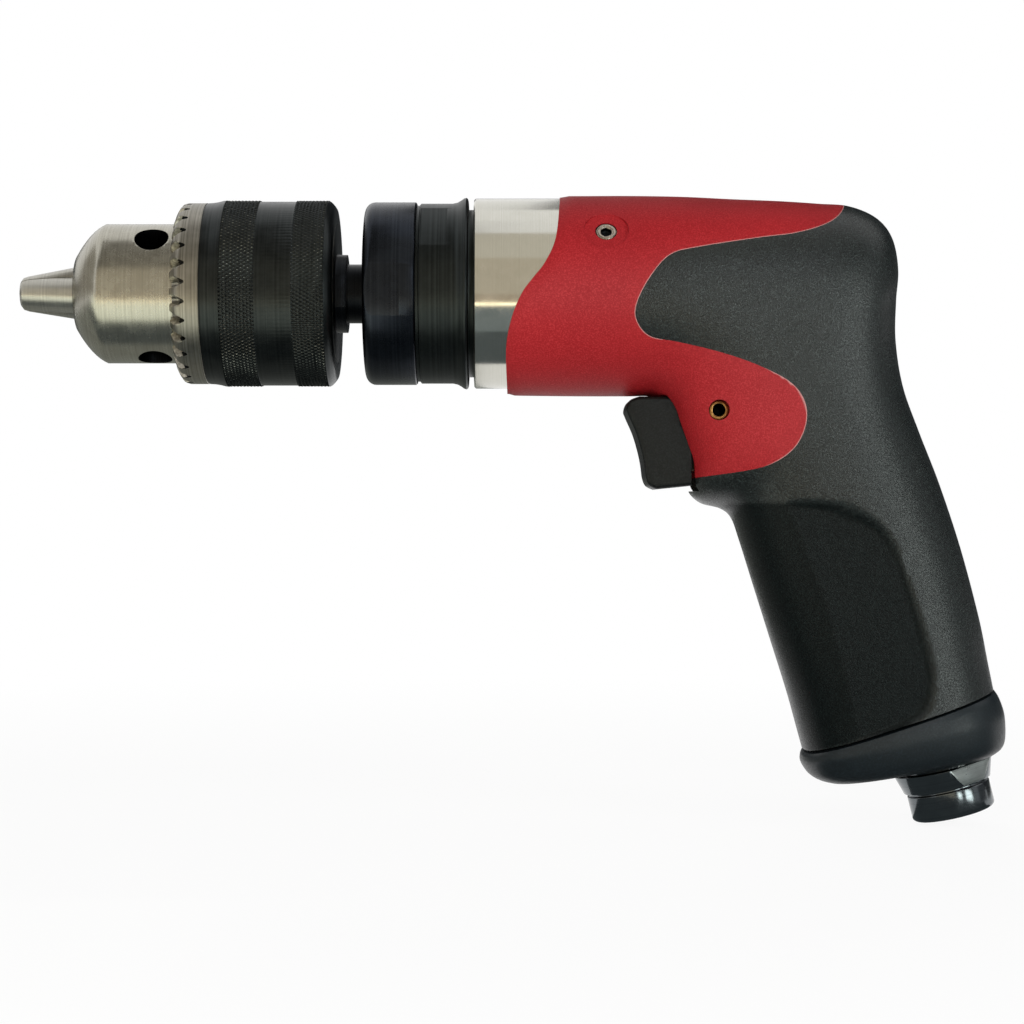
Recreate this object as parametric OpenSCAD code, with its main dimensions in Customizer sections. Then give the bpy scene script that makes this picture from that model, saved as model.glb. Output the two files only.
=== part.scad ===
// Pistol-grip air drill with a key chuck, one planetary stage and a vane motor.
// Millimetres. The origin is the centre of the closed jaw tips. +X runs back along the spindle axis,
// +Z is up, and the handle hangs down at the back.

/* [Chuck] */
// Outside diameter of the knurled sleeve
sleeve_d = 43; // [42.5:0.25:46]
// Length of the sleeve with its toothed ring
sleeve_l = 36; // [35.5:0.25:40]
// Diameter of the steel chuck body
chuck_body_d = 32.1; // [31.8:0.1:33]
// Length of chuck body in front of the sleeve
body_front_l = 24; // [22.5:0.25:27]
// How far the closed jaws stand out of the nose
jaw_nose_l = 13.2; // [12:0.2:15]
// Largest bit shank
bit_max = 13; // [11:0.25:13]
// Smallest bit shank
bit_min = 1.5; // [1.2:0.1:2.5]
// Diameter of one jaw
jaw_d = 8.5; // [8:0.1:8.8]
// Angle of a jaw to the spindle axis
jaw_angle = 12; // [11.5:0.1:12.2]
// Diameter of the chuck key holes
key_hole_d = 7.8; // [6:0.2:8.4]
// Depth of the chuck key holes
key_hole_l = 6.4; // [5:0.2:6.8]
// Teeth on the sleeve's front ring
tooth_count = 30; // [24:1:40]
// Turn of the first key hole from straight up, towards -Y
chuck_turn = 43; // [0:1:119]

/* [Front end] */
// Diameter of the clamp nut
clamp_nut_d = 42.1; // [41:0.1:44]
// Length of the clamp nut
clamp_nut_l = 11.8; // [11:0.2:15]
// Diameter of the gear case
case_d = 41.5; // [41:0.1:44]
// Length of the gear case's plain band
case_l = 7.3; // [6.5:0.1:9]
// Diameter of the gear case's rounded lip
lip_d = 44.2; // [43.5:0.1:47]
// Length of the lip
lip_l = 3.7; // [3:0.1:5]
// Depth of the clamp nut's spanner flats
nut_flat_depth = 0.8; // [0.4:0.05:1.2]
// Depth of the gear case's spanner flats
case_flat_depth = 1.1; // [0.4:0.05:1.4]

/* [Spindle and gears] */
// Thread diameter of the spindle nose
thread_d = 12.7; // [12:0.1:13]
// Diameter of the spindle neck
neck_d = 13.6; // [13.2:0.1:14.4]
// Length of spindle neck that shows
neck_l = 4.3; // [3:0.1:7]
// Diameter of the spindle where its bearings sit
journal_d = 15; // [14.6:0.1:15.4]
// Outside diameter of the spindle bearings
spindle_bearing_d = 32; // [31:0.25:33]
// Width of a spindle bearing
spindle_bearing_w = 9; // [8:0.25:10]
// Gear module
gear_module = 0.7; // [0.66:0.01:0.71]
// Teeth on the sun pinion
sun_teeth = 12; // [12:6:12]
// Teeth on each planet
planet_teeth = 18; // [18:6:18]
// Width of the gears
gear_w = 12; // [9:0.5:14]
// Diameter of a planet pin
planet_pin_d = 3.9; // [3:0.1:5]

/* [Motor] */
// Outside diameter of the aluminium barrel
barrel_d = 43.9; // [43.5:0.1:44.4]
// Bore of the barrel over the gears
gear_bore_d = 38; // [37.6:0.1:39]
// Bore of the barrel over the motor
motor_bore_d = 35.3; // [34.8:0.1:36]
// Diameter of the rotor
rotor_d = 25.2; // [23:0.1:25.4]
// Length of the rotor
rotor_l = 31.7; // [24:0.1:32]
// Offset of the cylinder bore from the spindle axis
eccentricity = 1.6; // [1:0.1:1.8]
// Vanes in the rotor
vane_count = 5; // [4:1:6]
// Thickness of a vane
vane_t = 1.8; // [1.2:0.1:2.4]
// Thickness of a motor end plate
end_plate_l = 7; // [6.5:0.1:8]
// Outside diameter of the rotor bearings
rotor_bearing_d = 19; // [18:0.25:21]
// Bore of the rotor bearings
rotor_shaft_d = 8; // [7.4:0.1:8.4]
// Width of a rotor bearing
rotor_bearing_w = 5.5; // [4.5:0.1:5.8]

/* [Housing and grip] */
// Radius of the housing round the barrel
shell_r = 23; // [22.9:0.1:25]
// Width of the handle
grip_w = 37.2; // [36.5:0.1:42]
// Length of the straight front of the handle
handle_l = 50.5; // [44:0.5:62]
// Lean of the handle's front
handle_front_lean = 17.4; // [16.4:0.1:18.4]
// Lean of the handle's back
handle_back_lean = 16; // [15.5:0.1:17.5]
// Thickness of the soft grip
skin_t = 2.2; // [1.8:0.1:2.8]
// Depth of the flat side panel in the grip
panel_depth = 1.3; // [0.6:0.1:1.5]
// Head diameter of a lock screw
lock_head_d = 4.7; // [4:0.1:5.4]
// Diameter of the cross pin
cross_pin_d = 4.4; // [3.6:0.1:4.8]

/* [Trigger and valve] */
// Width of the trigger
trigger_w = 17.8; // [17:0.1:18.2]
// Travel of the trigger
trigger_travel = 5; // [4:0.25:6]
// Depth of the valve axis below the spindle axis
valve_drop = 34; // [33.8:0.1:34.6]
// Diameter of the brass valve bush
bush_d = 14; // [13:0.1:14.4]
// Length of the valve bush
bush_l = 16.8; // [14:0.1:18]
// Diameter of the valve stem
stem_d = 4.4; // [3.4:0.1:5]
// Wire of the valve spring
spring_wire_d = 0.9; // [0.6:0.1:1.2]
// Turns of the valve spring
spring_turns = 8; // [5:1:9]

/* [Inlet and exhaust] */
// Tilt of the air inlet from upright
inlet_tilt = 14; // [12:0.5:16]
// Diameter of the inlet ring
inlet_d = 19.2; // [18.4:0.1:20.5]
// Length of the inlet ring
inlet_ring_l = 6.2; // [5:0.1:9]
// Core diameter of the inlet thread
inlet_thread_d = 11.4; // [9:0.1:12]
// Depth of the inlet thread
inlet_thread_l = 13; // [10:0.5:15]
// Wall of the end cap
cap_wall = 2.4; // [1.8:0.1:3]

/* [Fits] */
// Radial gap of a running fit
run_gap = 0.05; // [0.03:0.01:0.08]
// Radial gap of a fixed fit
seat_gap = 0.02; // [0.01:0.01:0.04]
// Gap beside parts that move freely
free_gap = 0.35; // [0.3:0.05:0.5]

/* [Hidden] */
$fn = 64;
JAWS = ["chuck_jaw_1", "chuck_jaw_2", "chuck_jaw_3"];
PLANETS = ["planet_gear_1", "planet_gear_2", "planet_gear_3"];

// Overlap of a cutting tool past the face that it cuts
cut = 1;

// Places along the spindle axis, front to back
nose_x = jaw_nose_l;
sleeve_x = nose_x + body_front_l;
sleeve_end = sleeve_x + sleeve_l;
boss_l = 2.3;
chuck_end = sleeve_end + boss_l;
clamp_nut_x = chuck_end + neck_l;
clamp_nut_end = clamp_nut_x + clamp_nut_l;
nut_groove_l = 0.8;
case_x = clamp_nut_end + nut_groove_l;
lip_x = case_x + case_l;
lip_end = lip_x + lip_l;
case_neck_l = 1.4;
barrel_x = lip_end + case_neck_l;

// Chuck
sleeve_r = sleeve_d / 2;
chuck_r = chuck_body_d / 2;
jaw_r = jaw_d / 2;
jaw_cross_x = 3.2;
jaw_open = (bit_max - bit_min) / 2;
jaw_travel = jaw_open / sin(jaw_angle);
nut_ring_x = sleeve_x + 3.1;
nut_ring_l = 4.6;
jaw_l = (nut_ring_x + 3.2 - jaw_cross_x) / cos(jaw_angle);
sleeve_wall = 2.5;
sleeve_cavity_r = sleeve_r - sleeve_wall;
nut_ring_r = sleeve_cavity_r - 0.6;
nut_groove_r = jaw_reach(nut_ring_x) - 0.8;
bit_bore_r = bit_max / 2 + 0.2;
bit_bore_end = nut_ring_x + nut_ring_l + 1;
chuck_screw_r = 3;
chuck_screw_head_r = 4.2;
chuck_screw_head_l = 3.6;
screw_seat_x = bit_bore_end + chuck_screw_head_l;
spindle_x = screw_seat_x + 5.2;
chuck_screw_l = 15.5;
boss_r = 9;
key_hole_x = sleeve_x - 5.6;
tooth_l = 2.5;
tooth_turn = 3.5;
steel_ring_l = 6.2;

// Front end
clamp_nut_r = clamp_nut_d / 2;
case_r = case_d / 2;
lip_r = lip_d / 2;
neck_r = neck_d / 2;
journal_r = journal_d / 2;
spindle_bearing_r = spindle_bearing_d / 2;
nut_wall = 2.4;
ring_room = 1.75;
front_bearing_x = clamp_nut_x + nut_wall + ring_room;
bearing_shoulder_l = 2.5;
rear_bearing_x = front_bearing_x + spindle_bearing_w + bearing_shoulder_l;
carrier_x = rear_bearing_x + spindle_bearing_w + 0.2;
carrier_l = 4;
case_thread_r = spindle_bearing_r + 2.2;
case_neck_r = 19.3;
gear_bore_r = gear_bore_d / 2;
case_spigot_l = carrier_x + carrier_l + 0.5 - barrel_x;
seal_r = neck_r + 2.7;

// Gears
pressure_angle = 25;
addendum = 0.8;
dedendum = 1.05;
backlash = 0.12;
ring_teeth = sun_teeth + 2 * planet_teeth;
gear_centre = gear_module * (sun_teeth + planet_teeth) / 2;
ring_gear_x = barrel_x + case_spigot_l;
ring_gear_l = gear_w + 1.8;
gear_x = ring_gear_x + 0.5;
planet_pin_r = planet_pin_d / 2;
carrier_r = gear_centre + planet_pin_r + 3;
pinion_bore_r = 2.2;

// Motor
barrel_r = barrel_d / 2;
motor_bore_r = motor_bore_d / 2;
motor_r = motor_bore_r - seat_gap;
motor_x = ring_gear_x + ring_gear_l;
rotor_r = rotor_d / 2;
rotor_shaft_r = rotor_shaft_d / 2;
rotor_bearing_r = rotor_bearing_d / 2;
rotor_end_gap = 0.15;
cylinder_x = motor_x + end_plate_l;
cylinder_l = rotor_l + 2 * rotor_end_gap;
rear_plate_x = cylinder_x + cylinder_l;
washer_x = rear_plate_x + end_plate_l;
washer_l = 1.2;
barrel_lip_x = washer_x + washer_l;
barrel_lip_l = 2.3;
barrel_end = barrel_lip_x + barrel_lip_l;
barrel_front_l = 40;
barrel_step_x = barrel_x + barrel_front_l;
barrel_rear_r = motor_bore_r + 1.75;
rotor_gap = 0.1;
cylinder_bore_r = rotor_r + eccentricity + rotor_gap;
vane_depth = 5.3;
plate_wall = end_plate_l - rotor_bearing_w;
front_rotor_bearing_x = motor_x + 0.2;
rear_rotor_bearing_x = washer_x - 0.2 - rotor_bearing_w;
dowel_r = 1;
dowel_place = motor_r - 1.7;

// Housing: sections across the body, each from a point on its underside or front to one on its top or back.
// A row is [x below, z below, x above, z above, half width, squareness], with x from the barrel's front.
grip_r = grip_w / 2;
under_barrel = -shell_r - 0.7;
handle_back_l = handle_l * 1.216;
handle_bulge = 7.6;
handle_front_top = [61.5, under_barrel - 33.5];
handle_back_top = [102.4, under_barrel - 8.3];
handle_front_way = [sin(handle_front_lean), -cos(handle_front_lean)];
handle_back_way = [sin(handle_back_lean), -cos(handle_back_lean)];
barrel_rows = [
  [6.2, under_barrel + 0.2, 6.2, shell_r - 0.4, shell_r, 2],
  [23.2, under_barrel, 23.2, shell_r - 0.4, shell_r + 0.1, 2],
  [35.2, under_barrel, 36.2, shell_r - 0.4, shell_r + 0.1, 2.05],
  [40.6, under_barrel, 48.2, shell_r - 0.8, shell_r - 0.1, 2.2],
  [43.2, under_barrel - 1.2, 59.2, shell_r - 1.4, shell_r - 0.4, 2.35],
  [45.3, under_barrel - 4, 70.2, shell_r - 1.9, shell_r - 0.8, 2.5],
  [46.6, under_barrel - 8.1, 79.2, shell_r - 2.5, shell_r - 1.3, 2.6],
  [48.1, under_barrel - 12.5, 86.2, shell_r - 3.1, grip_r + 2.6, 2.7],
  [49.3, under_barrel - 16.3, 92.4, shell_r - 5.8, grip_r + 2.2, 2.8],
  [49.5, under_barrel - 20.2, 96.1, shell_r - 10.4, grip_r + 1.9, 2.8],
  [50, under_barrel - 22.6, 97.5, shell_r - 17.5, grip_r + 1.6, 2.8],
  [52.6, under_barrel - 24.8, 97, under_barrel + 21.7, grip_r + 1.3, 2.8],
  [57, under_barrel - 26, 96.9, under_barrel + 12.7, grip_r + 1, 2.75],
  [59.6, under_barrel - 28.2, 98.6, under_barrel + 2.2, grip_r + 0.7, 2.7]
];
handle_rows = [
  for (f = [0, 0.2, 0.45, 0.72, 1])
    concat(
      handle_front_top + f * handle_l * handle_front_way,
      handle_back_top + f * handle_back_l * handle_back_way + [handle_bulge * f * (1 - f), 0],
      [grip_r + 0.5 * (1 - 2 * f * (1 - f)), 2.6]
    )
];
body_rows = concat(barrel_rows, handle_rows);
base_row = handle_rows[len(handle_rows) - 1];
base_front = [base_row[0], base_row[1]];
base_back = [base_row[2], base_row[3]];
base_way = (base_back - base_front) / norm(base_back - base_front);
base_down = [base_way[1], -base_way[0]];
cap_gap = 0.5;
core_base = concat(
  base_front + cap_gap * base_down,
  base_back + cap_gap * base_down,
  [base_row[4], base_row[5]]
);
core_rows = drawn_in(concat([for (i = [0 : len(body_rows) - 2]) body_rows[i]], [core_base]), skin_t);
cap_rows = [
  cap_row(-0.9, 0.4, cap_gap, cap_gap, 0.3),
  cap_row(-1.4, 0.9, 2.6, 5.4, 0.7),
  cap_row(-0.4, -0.2, 5.7, 11.2, -0.2),
  cap_row(2.6, -2.6, 8.4, 13.6, -3.6)
];
section_sides = 32;
core_sides = 24;

// Side outlines, as [x, z] with x from the barrel's front
front_edge = [
  [20, shell_r + 4], [19.6, shell_r - 2], [18.5, 11], [16.1, 5.3], [13.4, 1.7], [10.9, -1.8], [8.7, -7.2],
  [7.4, -14.1], [7.6, -shell_r], [7.6, -shell_r - 4]
];
grip_edge = [
  [86, shell_r + 4], [85, shell_r - 2.4], [82.6, 16.6], [78.6, 14], [72, 12], [64.3, 10.9], [50.8, 8.7],
  [44.1, 6.9], [39.7, 2.2], [36.6, -3.6], [36.4, -7.6], [39.4, -11.2], [46, -12.6], [55, -14.8], [63.8, -17.8],
  [71, -21.6], [74.2, -26], [74.4, -31], [72, -36], [67.5, -39.4], [61.8, -41.1], [50.6, -42.7], [36, -44.6]
];
panel_edge = [
  [52, under_barrel - 25], [66, under_barrel - 24.8], [80, under_barrel - 25.4], [88.5, under_barrel - 29.8],
  [92.6, under_barrel - 39], [95, under_barrel - 48], [98.2, under_barrel - 61], [99.2, under_barrel - 68],
  [96.6, under_barrel - 72.6], [90, under_barrel - 75], [76, under_barrel - 79.6], [62, under_barrel - 84]
];

// Lock screws and cross pin
lock_back = 29.8;
lock_x = barrel_x + lock_back;
lock_turn = 56;
lock_head_r = lock_head_d / 2;
lock_seat_r = barrel_r - 1.8;
lock_shank_r = 1.5;
lock_flat_r = 5.05;
lock_flat_at = shell_r - 0.5;
cross_pin_back = 55.2;
cross_pin_x = barrel_x + cross_pin_back;
bush_r = bush_d / 2;
cross_pin_z = bush_r - valve_drop - 0.6;
cross_pin_r = cross_pin_d / 2;
cross_pin_l = 34;

// Trigger and valve
bush_back = 50.4;
bush_x = barrel_x + bush_back;
bush_end = bush_x + bush_l;
stem_r = stem_d / 2;
trigger_rear = bush_x - 0.8;
trigger_top = under_barrel - 0.4;
trigger_step_z = cross_pin_z - cross_pin_r - 0.7;
trigger_step_x = cross_pin_x - cross_pin_r - 0.5 - trigger_travel;
trigger_drop = 11.3;
trigger_bottom = -valve_drop - trigger_drop;
trigger_depth = 14.8;
trigger_wall_x = bush_x - trigger_travel - 0.6;
slot_x = trigger_rear - trigger_depth - 4.8;
slot_end = trigger_rear + trigger_travel + 0.6;
poppet_x = bush_end + 0.3;
poppet_l = 3;
poppet_r = bush_r - 1;
stem_collar_l = 1;
stem_end = poppet_x + poppet_l + stem_collar_l;
chamber_end = stem_end + trigger_travel + 12.6;
spring_r = 4.6;
spring_x = stem_end + spring_wire_d / 2 + 0.1;
spring_l = chamber_end - spring_x - spring_wire_d / 2 - 0.1;
port_x = bush_x + 10.8;
port_r = 2.5;

// Inlet and exhaust: the inlet's own axis starts at the centre of its lower face
inlet_r = inlet_d / 2;
inlet_groove_l = 0.6;
inlet_neck_l = 4.4;
inlet_neck_r = inlet_r + 1.8;
inlet_flats = 19.4;
inlet_turn = -60;
inlet_shank_r = inlet_r - 0.6;
inlet_shank_l = 22;
inlet_seat = inlet_ring_l + inlet_groove_l + inlet_neck_l;
inlet_seat_at = base_back + [-10.9, -18.2];
inlet_x = barrel_x + inlet_seat_at[0] + inlet_seat * sin(inlet_tilt);
inlet_z = inlet_seat_at[1] - inlet_seat * cos(inlet_tilt);
inlet_top = inlet_seat + inlet_shank_l;
air_bore_r = 5.5;
strainer_l = 2;
exhaust_r = 2.6;
exhaust_side = 12;
exhaust_base = base_front + [12.4, 3.9];
exhaust_lean = 18.5;
exhaust_l = 94;

// Reach of a closed jaw from the spindle axis at a place along it
function jaw_reach(x) = (x - jaw_cross_x) * tan(jaw_angle) + jaw_r / cos(jaw_angle);

// One section of the end cap, moved along and across the handle's base
function cap_row(front, back, front_down, back_down, wider) = concat(
  base_front + front * base_way + front_down * base_down,
  base_back + back * base_way + back_down * base_down,
  [grip_r + 0.5 + wider, 2.6]
);

// Smooth curve through the rows of a list, with the given steps between rows
function through(rows, steps) = concat(
  [
    for (i = [0 : len(rows) - 2])
      for (k = [0 : steps - 1])
        between(rows[max(i - 1, 0)], rows[i], rows[i + 1], rows[min(i + 2, len(rows) - 1)], k / steps)
  ],
  [rows[len(rows) - 1]]
);
function between(a, b, c, d, t) =
  b + t / 2 * (c - a) + t * t / 2 * (2 * a - 5 * b + 4 * c - d) + t * t * t / 2 * (3 * b - a - 3 * c + d);

// Rows drawn in by a thickness all round
function drawn_in(rows, t) = [
  for (r = rows)
    let (low = [r[0], r[1]], high = [r[2], r[3]], way = (high - low) / norm(high - low))
      concat(low + t * way, high - t * way, [r[4] - t, r[5]])
];

// Points round one section
function section(row, sides) =
  let (
    mid_x = (row[0] + row[2]) / 2,
    mid_z = (row[1] + row[3]) / 2,
    half_x = (row[2] - row[0]) / 2,
    half_z = (row[3] - row[1]) / 2,
    power = 2 / row[5]
  )
  [
    for (i = [0 : sides - 1])
      let (
        a = 360 * (i + 0.5) / sides,
        along = sign(cos(a)) * pow(abs(cos(a)), power),
        across = sign(sin(a)) * pow(abs(sin(a)), power)
      )
      [mid_x + along * half_x, across * row[4], mid_z + along * half_z]
  ];

// Half angle of a gear tooth at a radius, with the tooth thinned by a length at the pitch circle
function involute(a) = tan(a) * 180 / PI - a;
function tooth_half(teeth, r, thin) =
  let (pitch = gear_module * teeth / 2, base = pitch * cos(pressure_angle))
    90 / teeth - thin / pitch * 90 / PI + involute(pressure_angle) - involute(acos(base / max(r, base)));
function gear_points(teeth, out, in, thin) =
  let (
    pitch = gear_module * teeth / 2,
    low = pitch - in * gear_module,
    high = pitch + out * gear_module,
    start = max(low, pitch * cos(pressure_angle)),
    steps = 4,
    radii = concat(start > low ? [low] : [], [for (k = [0 : steps]) start + (high - start) * k / steps])
  )
  [
    for (i = [0 : teeth - 1])
      for (side = [-1, 1])
        for (k = [0 : len(radii) - 1])
          let (
            r = side < 0 ? radii[k] : radii[len(radii) - 1 - k],
            a = 90 + 360 * i / teeth + side * tooth_half(teeth, r, thin)
          )
          r * [cos(a), sin(a)]
  ];

// Solid turned about the spindle axis from [radius, x] points
module turned(points) {
  rotate([0, 90, 0])
    rotate_extrude()
      polygon(points);
}

// Plain round bar along the spindle axis
module rod(x, length, r) {
  translate([x, 0, 0])
    rotate([0, 90, 0])
      cylinder(h = length, r = r);
}

// Ring along the spindle axis
module ring(x, length, r_out, r_in) {
  difference() {
    rod(x, length, r_out);
    rod(x - cut, length + 2 * cut, r_in);
  }
}

// Outline in the Y-Z plane, drawn out along X
module along_x(x, length) {
  translate([x, 0, 0])
    rotate([90, 0, 90])
      linear_extrude(length)
        children();
}

// Outline in the X-Z plane, drawn out to both sides
module across(width) {
  rotate([90, 0, 0])
    linear_extrude(width, center = true)
      children();
}

// Closed skin over a list of sections
module loft(rows, sides) {
  rings = [for (r = rows) section(r, sides)];
  last = len(rings) - 1;
  points = [for (r = rings) each r];
  faces = concat(
    [
      for (i = [0 : last - 1])
        for (k = [0 : sides - 1])
          let (a = i * sides + k, b = i * sides + (k + 1) % sides)
            each [[a, b, a + sides], [b, b + sides, a + sides]]
    ],
    [[for (k = [sides - 1 : -1 : 0]) k], [for (k = [0 : sides - 1]) last * sides + k]]
  );
  translate([barrel_x, 0, 0])
    polyhedron(points, faces);
}

// Round bar along a jaw's axis, from one distance to another along it
module jaw_bar(from, to, r) {
  translate([jaw_cross_x, 0, 0])
    rotate([0, 90 - jaw_angle, 0])
      translate([0, 0, from])
        cylinder(h = to - from, r = r);
}

// Places of the jaws, half way between the key holes
module at_jaw(i) {
  rotate([chuck_turn + 60 + 120 * i, 0, 0])
    children();
}

module chuck_body() {
  nose_face_r = bit_bore_r + 2.1;
  nose_curve_l = 6.8;
  nose_steps = 6;
  nose = [
    for (i = [0 : nose_steps])
      let (f = i / nose_steps)
        [
          nose_face_r + (chuck_r - nose_face_r) * (f + 0.6 * f * (1 - f)),
          nose_x + nose_curve_l * f
        ]
  ];
  color("#8f8a80")
    difference() {
      turned(concat(
        [[0, nose_x]],
        nose,
        [[chuck_r, sleeve_end], [boss_r, sleeve_end], [boss_r, chuck_end], [0, chuck_end]]
      ));
      ring(nut_ring_x - 0.2, nut_ring_l + 0.4, sleeve_r, nut_groove_r);
      rod(nose_x - cut, bit_bore_end - nose_x + cut, bit_bore_r);
      rod(bit_bore_end - cut, chuck_screw_head_l + cut, chuck_screw_head_r + 0.3);
      rod(screw_seat_x - cut, spindle_x - screw_seat_x + 2 * cut, chuck_screw_r + 0.1);
      rod(spindle_x - 0.2, chuck_end - spindle_x + cut, thread_d / 2 + seat_gap);
      for (i = [0 : 2]) {
        at_jaw(i)
          jaw_bar(-jaw_nose_l, jaw_l + jaw_travel + 0.6, jaw_r + run_gap);
        rotate([chuck_turn + 120 * i, 0, 0])
          translate([key_hole_x, 0, chuck_r - key_hole_l])
            cylinder(h = key_hole_l + cut, d = key_hole_d);
      }
      for (side = [-1, 1])
        translate([sleeve_end, side * (boss_r - 0.8) - (side < 0 ? boss_r : 0), -boss_r])
          cube([boss_l + cut, boss_r, 2 * boss_r]);
    }
}

module chuck_sleeve() {
  band_x = sleeve_x + steel_ring_l;
  knurl_x = band_x + 4.5;
  knurl_l = 7.8;
  rear_knurl_x = sleeve_end - 9;
  rim = 1.8;
  plain_depth = 0.3;
  tooth_pitch = 2 * PI * sleeve_r / tooth_count;
  tooth_slope = 22;
  root_at = 0.4 * tooth_l;
  root_half = 0.06 * tooth_pitch;
  gap_at = root_at + 2 * tooth_l;
  gap_half = root_half + (0.36 * tooth_pitch - root_half) * gap_at / tooth_l;
  color("#2b2d2d")
    difference() {
      turned([
        [chuck_r + run_gap, sleeve_x - 0.3], [chuck_r + 1, sleeve_x - 0.8], [sleeve_r - 1.5, sleeve_x + 0.4],
        [sleeve_r - 0.7, sleeve_x + 1.6], [sleeve_r - 0.6, knurl_x - 3], [sleeve_r, knurl_x],
        [sleeve_r, knurl_x + knurl_l], [sleeve_r - plain_depth, knurl_x + knurl_l],
        [sleeve_r - plain_depth, rear_knurl_x], [sleeve_r, rear_knurl_x], [sleeve_r, sleeve_end - rim],
        [sleeve_r - 0.8, sleeve_end - 0.8], [sleeve_r - rim, sleeve_end],
        [chuck_r + run_gap, sleeve_end], [chuck_r + run_gap, sleeve_end - 1.9],
        [sleeve_cavity_r, sleeve_end - 1.9], [sleeve_cavity_r, nut_ring_x + nut_ring_l + 0.1],
        [nut_ring_r + seat_gap, nut_ring_x + nut_ring_l + 0.1], [nut_ring_r + seat_gap, nut_ring_x],
        [chuck_r + run_gap, nut_ring_x]
      ]);
      for (i = [0 : tooth_count - 1])
        rotate([tooth_turn + 360 * i / tooth_count, 0, 0])
          translate([sleeve_x, 0, chuck_r])
            rotate([0, tooth_slope, 0])
              linear_extrude(2 * (sleeve_r - chuck_r))
                polygon([
                  [root_at - gap_at, -gap_half], [root_at, -root_half], [root_at, root_half],
                  [root_at - gap_at, gap_half]
                ]);
    }
}

module chuck_nut() {
  slit = 0.3;
  color("#6d6f70")
    difference() {
      turned([
        [jaw_reach(nut_ring_x) + 0.15, nut_ring_x + 0.1], [nut_ring_r, nut_ring_x + 0.1],
        [nut_ring_r, nut_ring_x + nut_ring_l], [jaw_reach(nut_ring_x + nut_ring_l) + 0.15, nut_ring_x + nut_ring_l]
      ]);
      translate([nut_ring_x - cut, -slit / 2, -sleeve_r])
        cube([nut_ring_l + 2 * cut, slit, 2 * sleeve_r]);
    }
}

module chuck_screw() {
  socket_r = 2.3;
  color("#5a5c5e")
    difference() {
      union() {
        rod(bit_bore_end, chuck_screw_head_l, chuck_screw_head_r);
        rod(screw_seat_x - cut, chuck_screw_l + cut, chuck_screw_r);
      }
      translate([bit_bore_end - cut, 0, 0])
        rotate([0, 90, 0])
          cylinder(h = 2.2 + cut, r = socket_r, $fn = 6);
    }
}

module chuck_jaw(i) {
  face_gap = 0.06;
  reach = 30;
  tip = [[0, 0], [2.9, 0], [3.7, 0.6], [4.15, 2], [4.5, 3.2], [reach, 3.2 + reach], [0, 3.2 + reach + jaw_l]];
  color("#a9a69d")
    at_jaw(i)
      difference() {
        intersection() {
          jaw_bar(-2 * jaw_r, jaw_l, jaw_r);
          along_x(-cut, 2 * jaw_l)
            polygon([[0, face_gap * 2], [reach * sin(60), reach / 2], [0, 2 * reach], [-reach * sin(60), reach / 2]]);
          turned(tip);
        }
        rod(-cut, jaw_l, bit_min / 2);
      }
}

module clamp_nut() {
  edge = 2.3;
  flat_l = 7.6;
  nut_turn = 2;
  edge_steps = 5;
  front = [
    for (i = [0 : edge_steps])
      let (a = 90 * i / edge_steps)
        [clamp_nut_r - edge + edge * sin(a), clamp_nut_x + edge - edge * cos(a)]
  ];
  color("#1d2024")
    difference() {
      turned(concat(
        [[neck_r + free_gap, clamp_nut_x]],
        front,
        [
          [clamp_nut_r, clamp_nut_end], [case_thread_r + seat_gap, clamp_nut_end],
          [case_thread_r + seat_gap, front_bearing_x], [spindle_bearing_r - 2.4, front_bearing_x],
          [spindle_bearing_r - 2.4, clamp_nut_x + nut_wall], [seal_r + seat_gap, clamp_nut_x + nut_wall],
          [seal_r + seat_gap, clamp_nut_x + 0.8], [neck_r + free_gap, clamp_nut_x + 0.8]
        ]
      ));
      for (side = [0, 180])
        rotate([90 + nut_turn + side, 0, 0])
          translate([clamp_nut_x - cut, -clamp_nut_r, clamp_nut_r - nut_flat_depth])
            cube([flat_l + cut, 2 * clamp_nut_r, clamp_nut_r]);
    }
}

module gear_case() {
  flat_l = 6.2;
  flat_turn = 44;
  lip_rise = lip_r - case_r;
  color("#222424")
    difference() {
      turned([
        [spindle_bearing_r + seat_gap, front_bearing_x + 0.1], [case_thread_r, front_bearing_x + 0.1],
        [case_thread_r, clamp_nut_end + 0.1], [case_r - 0.5, clamp_nut_end + 0.1], [case_r - 0.5, case_x],
        [case_r, case_x], [case_r, lip_x], [case_r + 0.2 * lip_rise, lip_x + 0.35 * lip_l],
        [case_r + 0.5 * lip_rise, lip_x + 0.57 * lip_l], [case_r + 0.88 * lip_rise, lip_x + 0.76 * lip_l],
        [lip_r, lip_x + 0.88 * lip_l], [case_r + 0.8 * lip_rise, lip_end - 0.1], [case_r + 0.4 * lip_rise, lip_end],
        [case_neck_r, lip_end], [case_neck_r, barrel_x],
        [gear_bore_r - seat_gap, barrel_x], [gear_bore_r - seat_gap, ring_gear_x],
        [spindle_bearing_r + seat_gap, ring_gear_x], [spindle_bearing_r + seat_gap, rear_bearing_x],
        [spindle_bearing_r - 2, rear_bearing_x], [spindle_bearing_r - 2, front_bearing_x + spindle_bearing_w],
        [spindle_bearing_r + seat_gap, front_bearing_x + spindle_bearing_w]
      ]);
      for (side = [0, 180])
        rotate([flat_turn + side, 0, 0])
          translate([case_x, -case_r, case_r - case_flat_depth])
            cube([flat_l, 2 * case_r, case_r]);
    }
}

module spindle_seal() {
  color("#b8ad94")
    ring(clamp_nut_x + 0.8, nut_wall - 0.8, seal_r, neck_r + run_gap);
}

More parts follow.
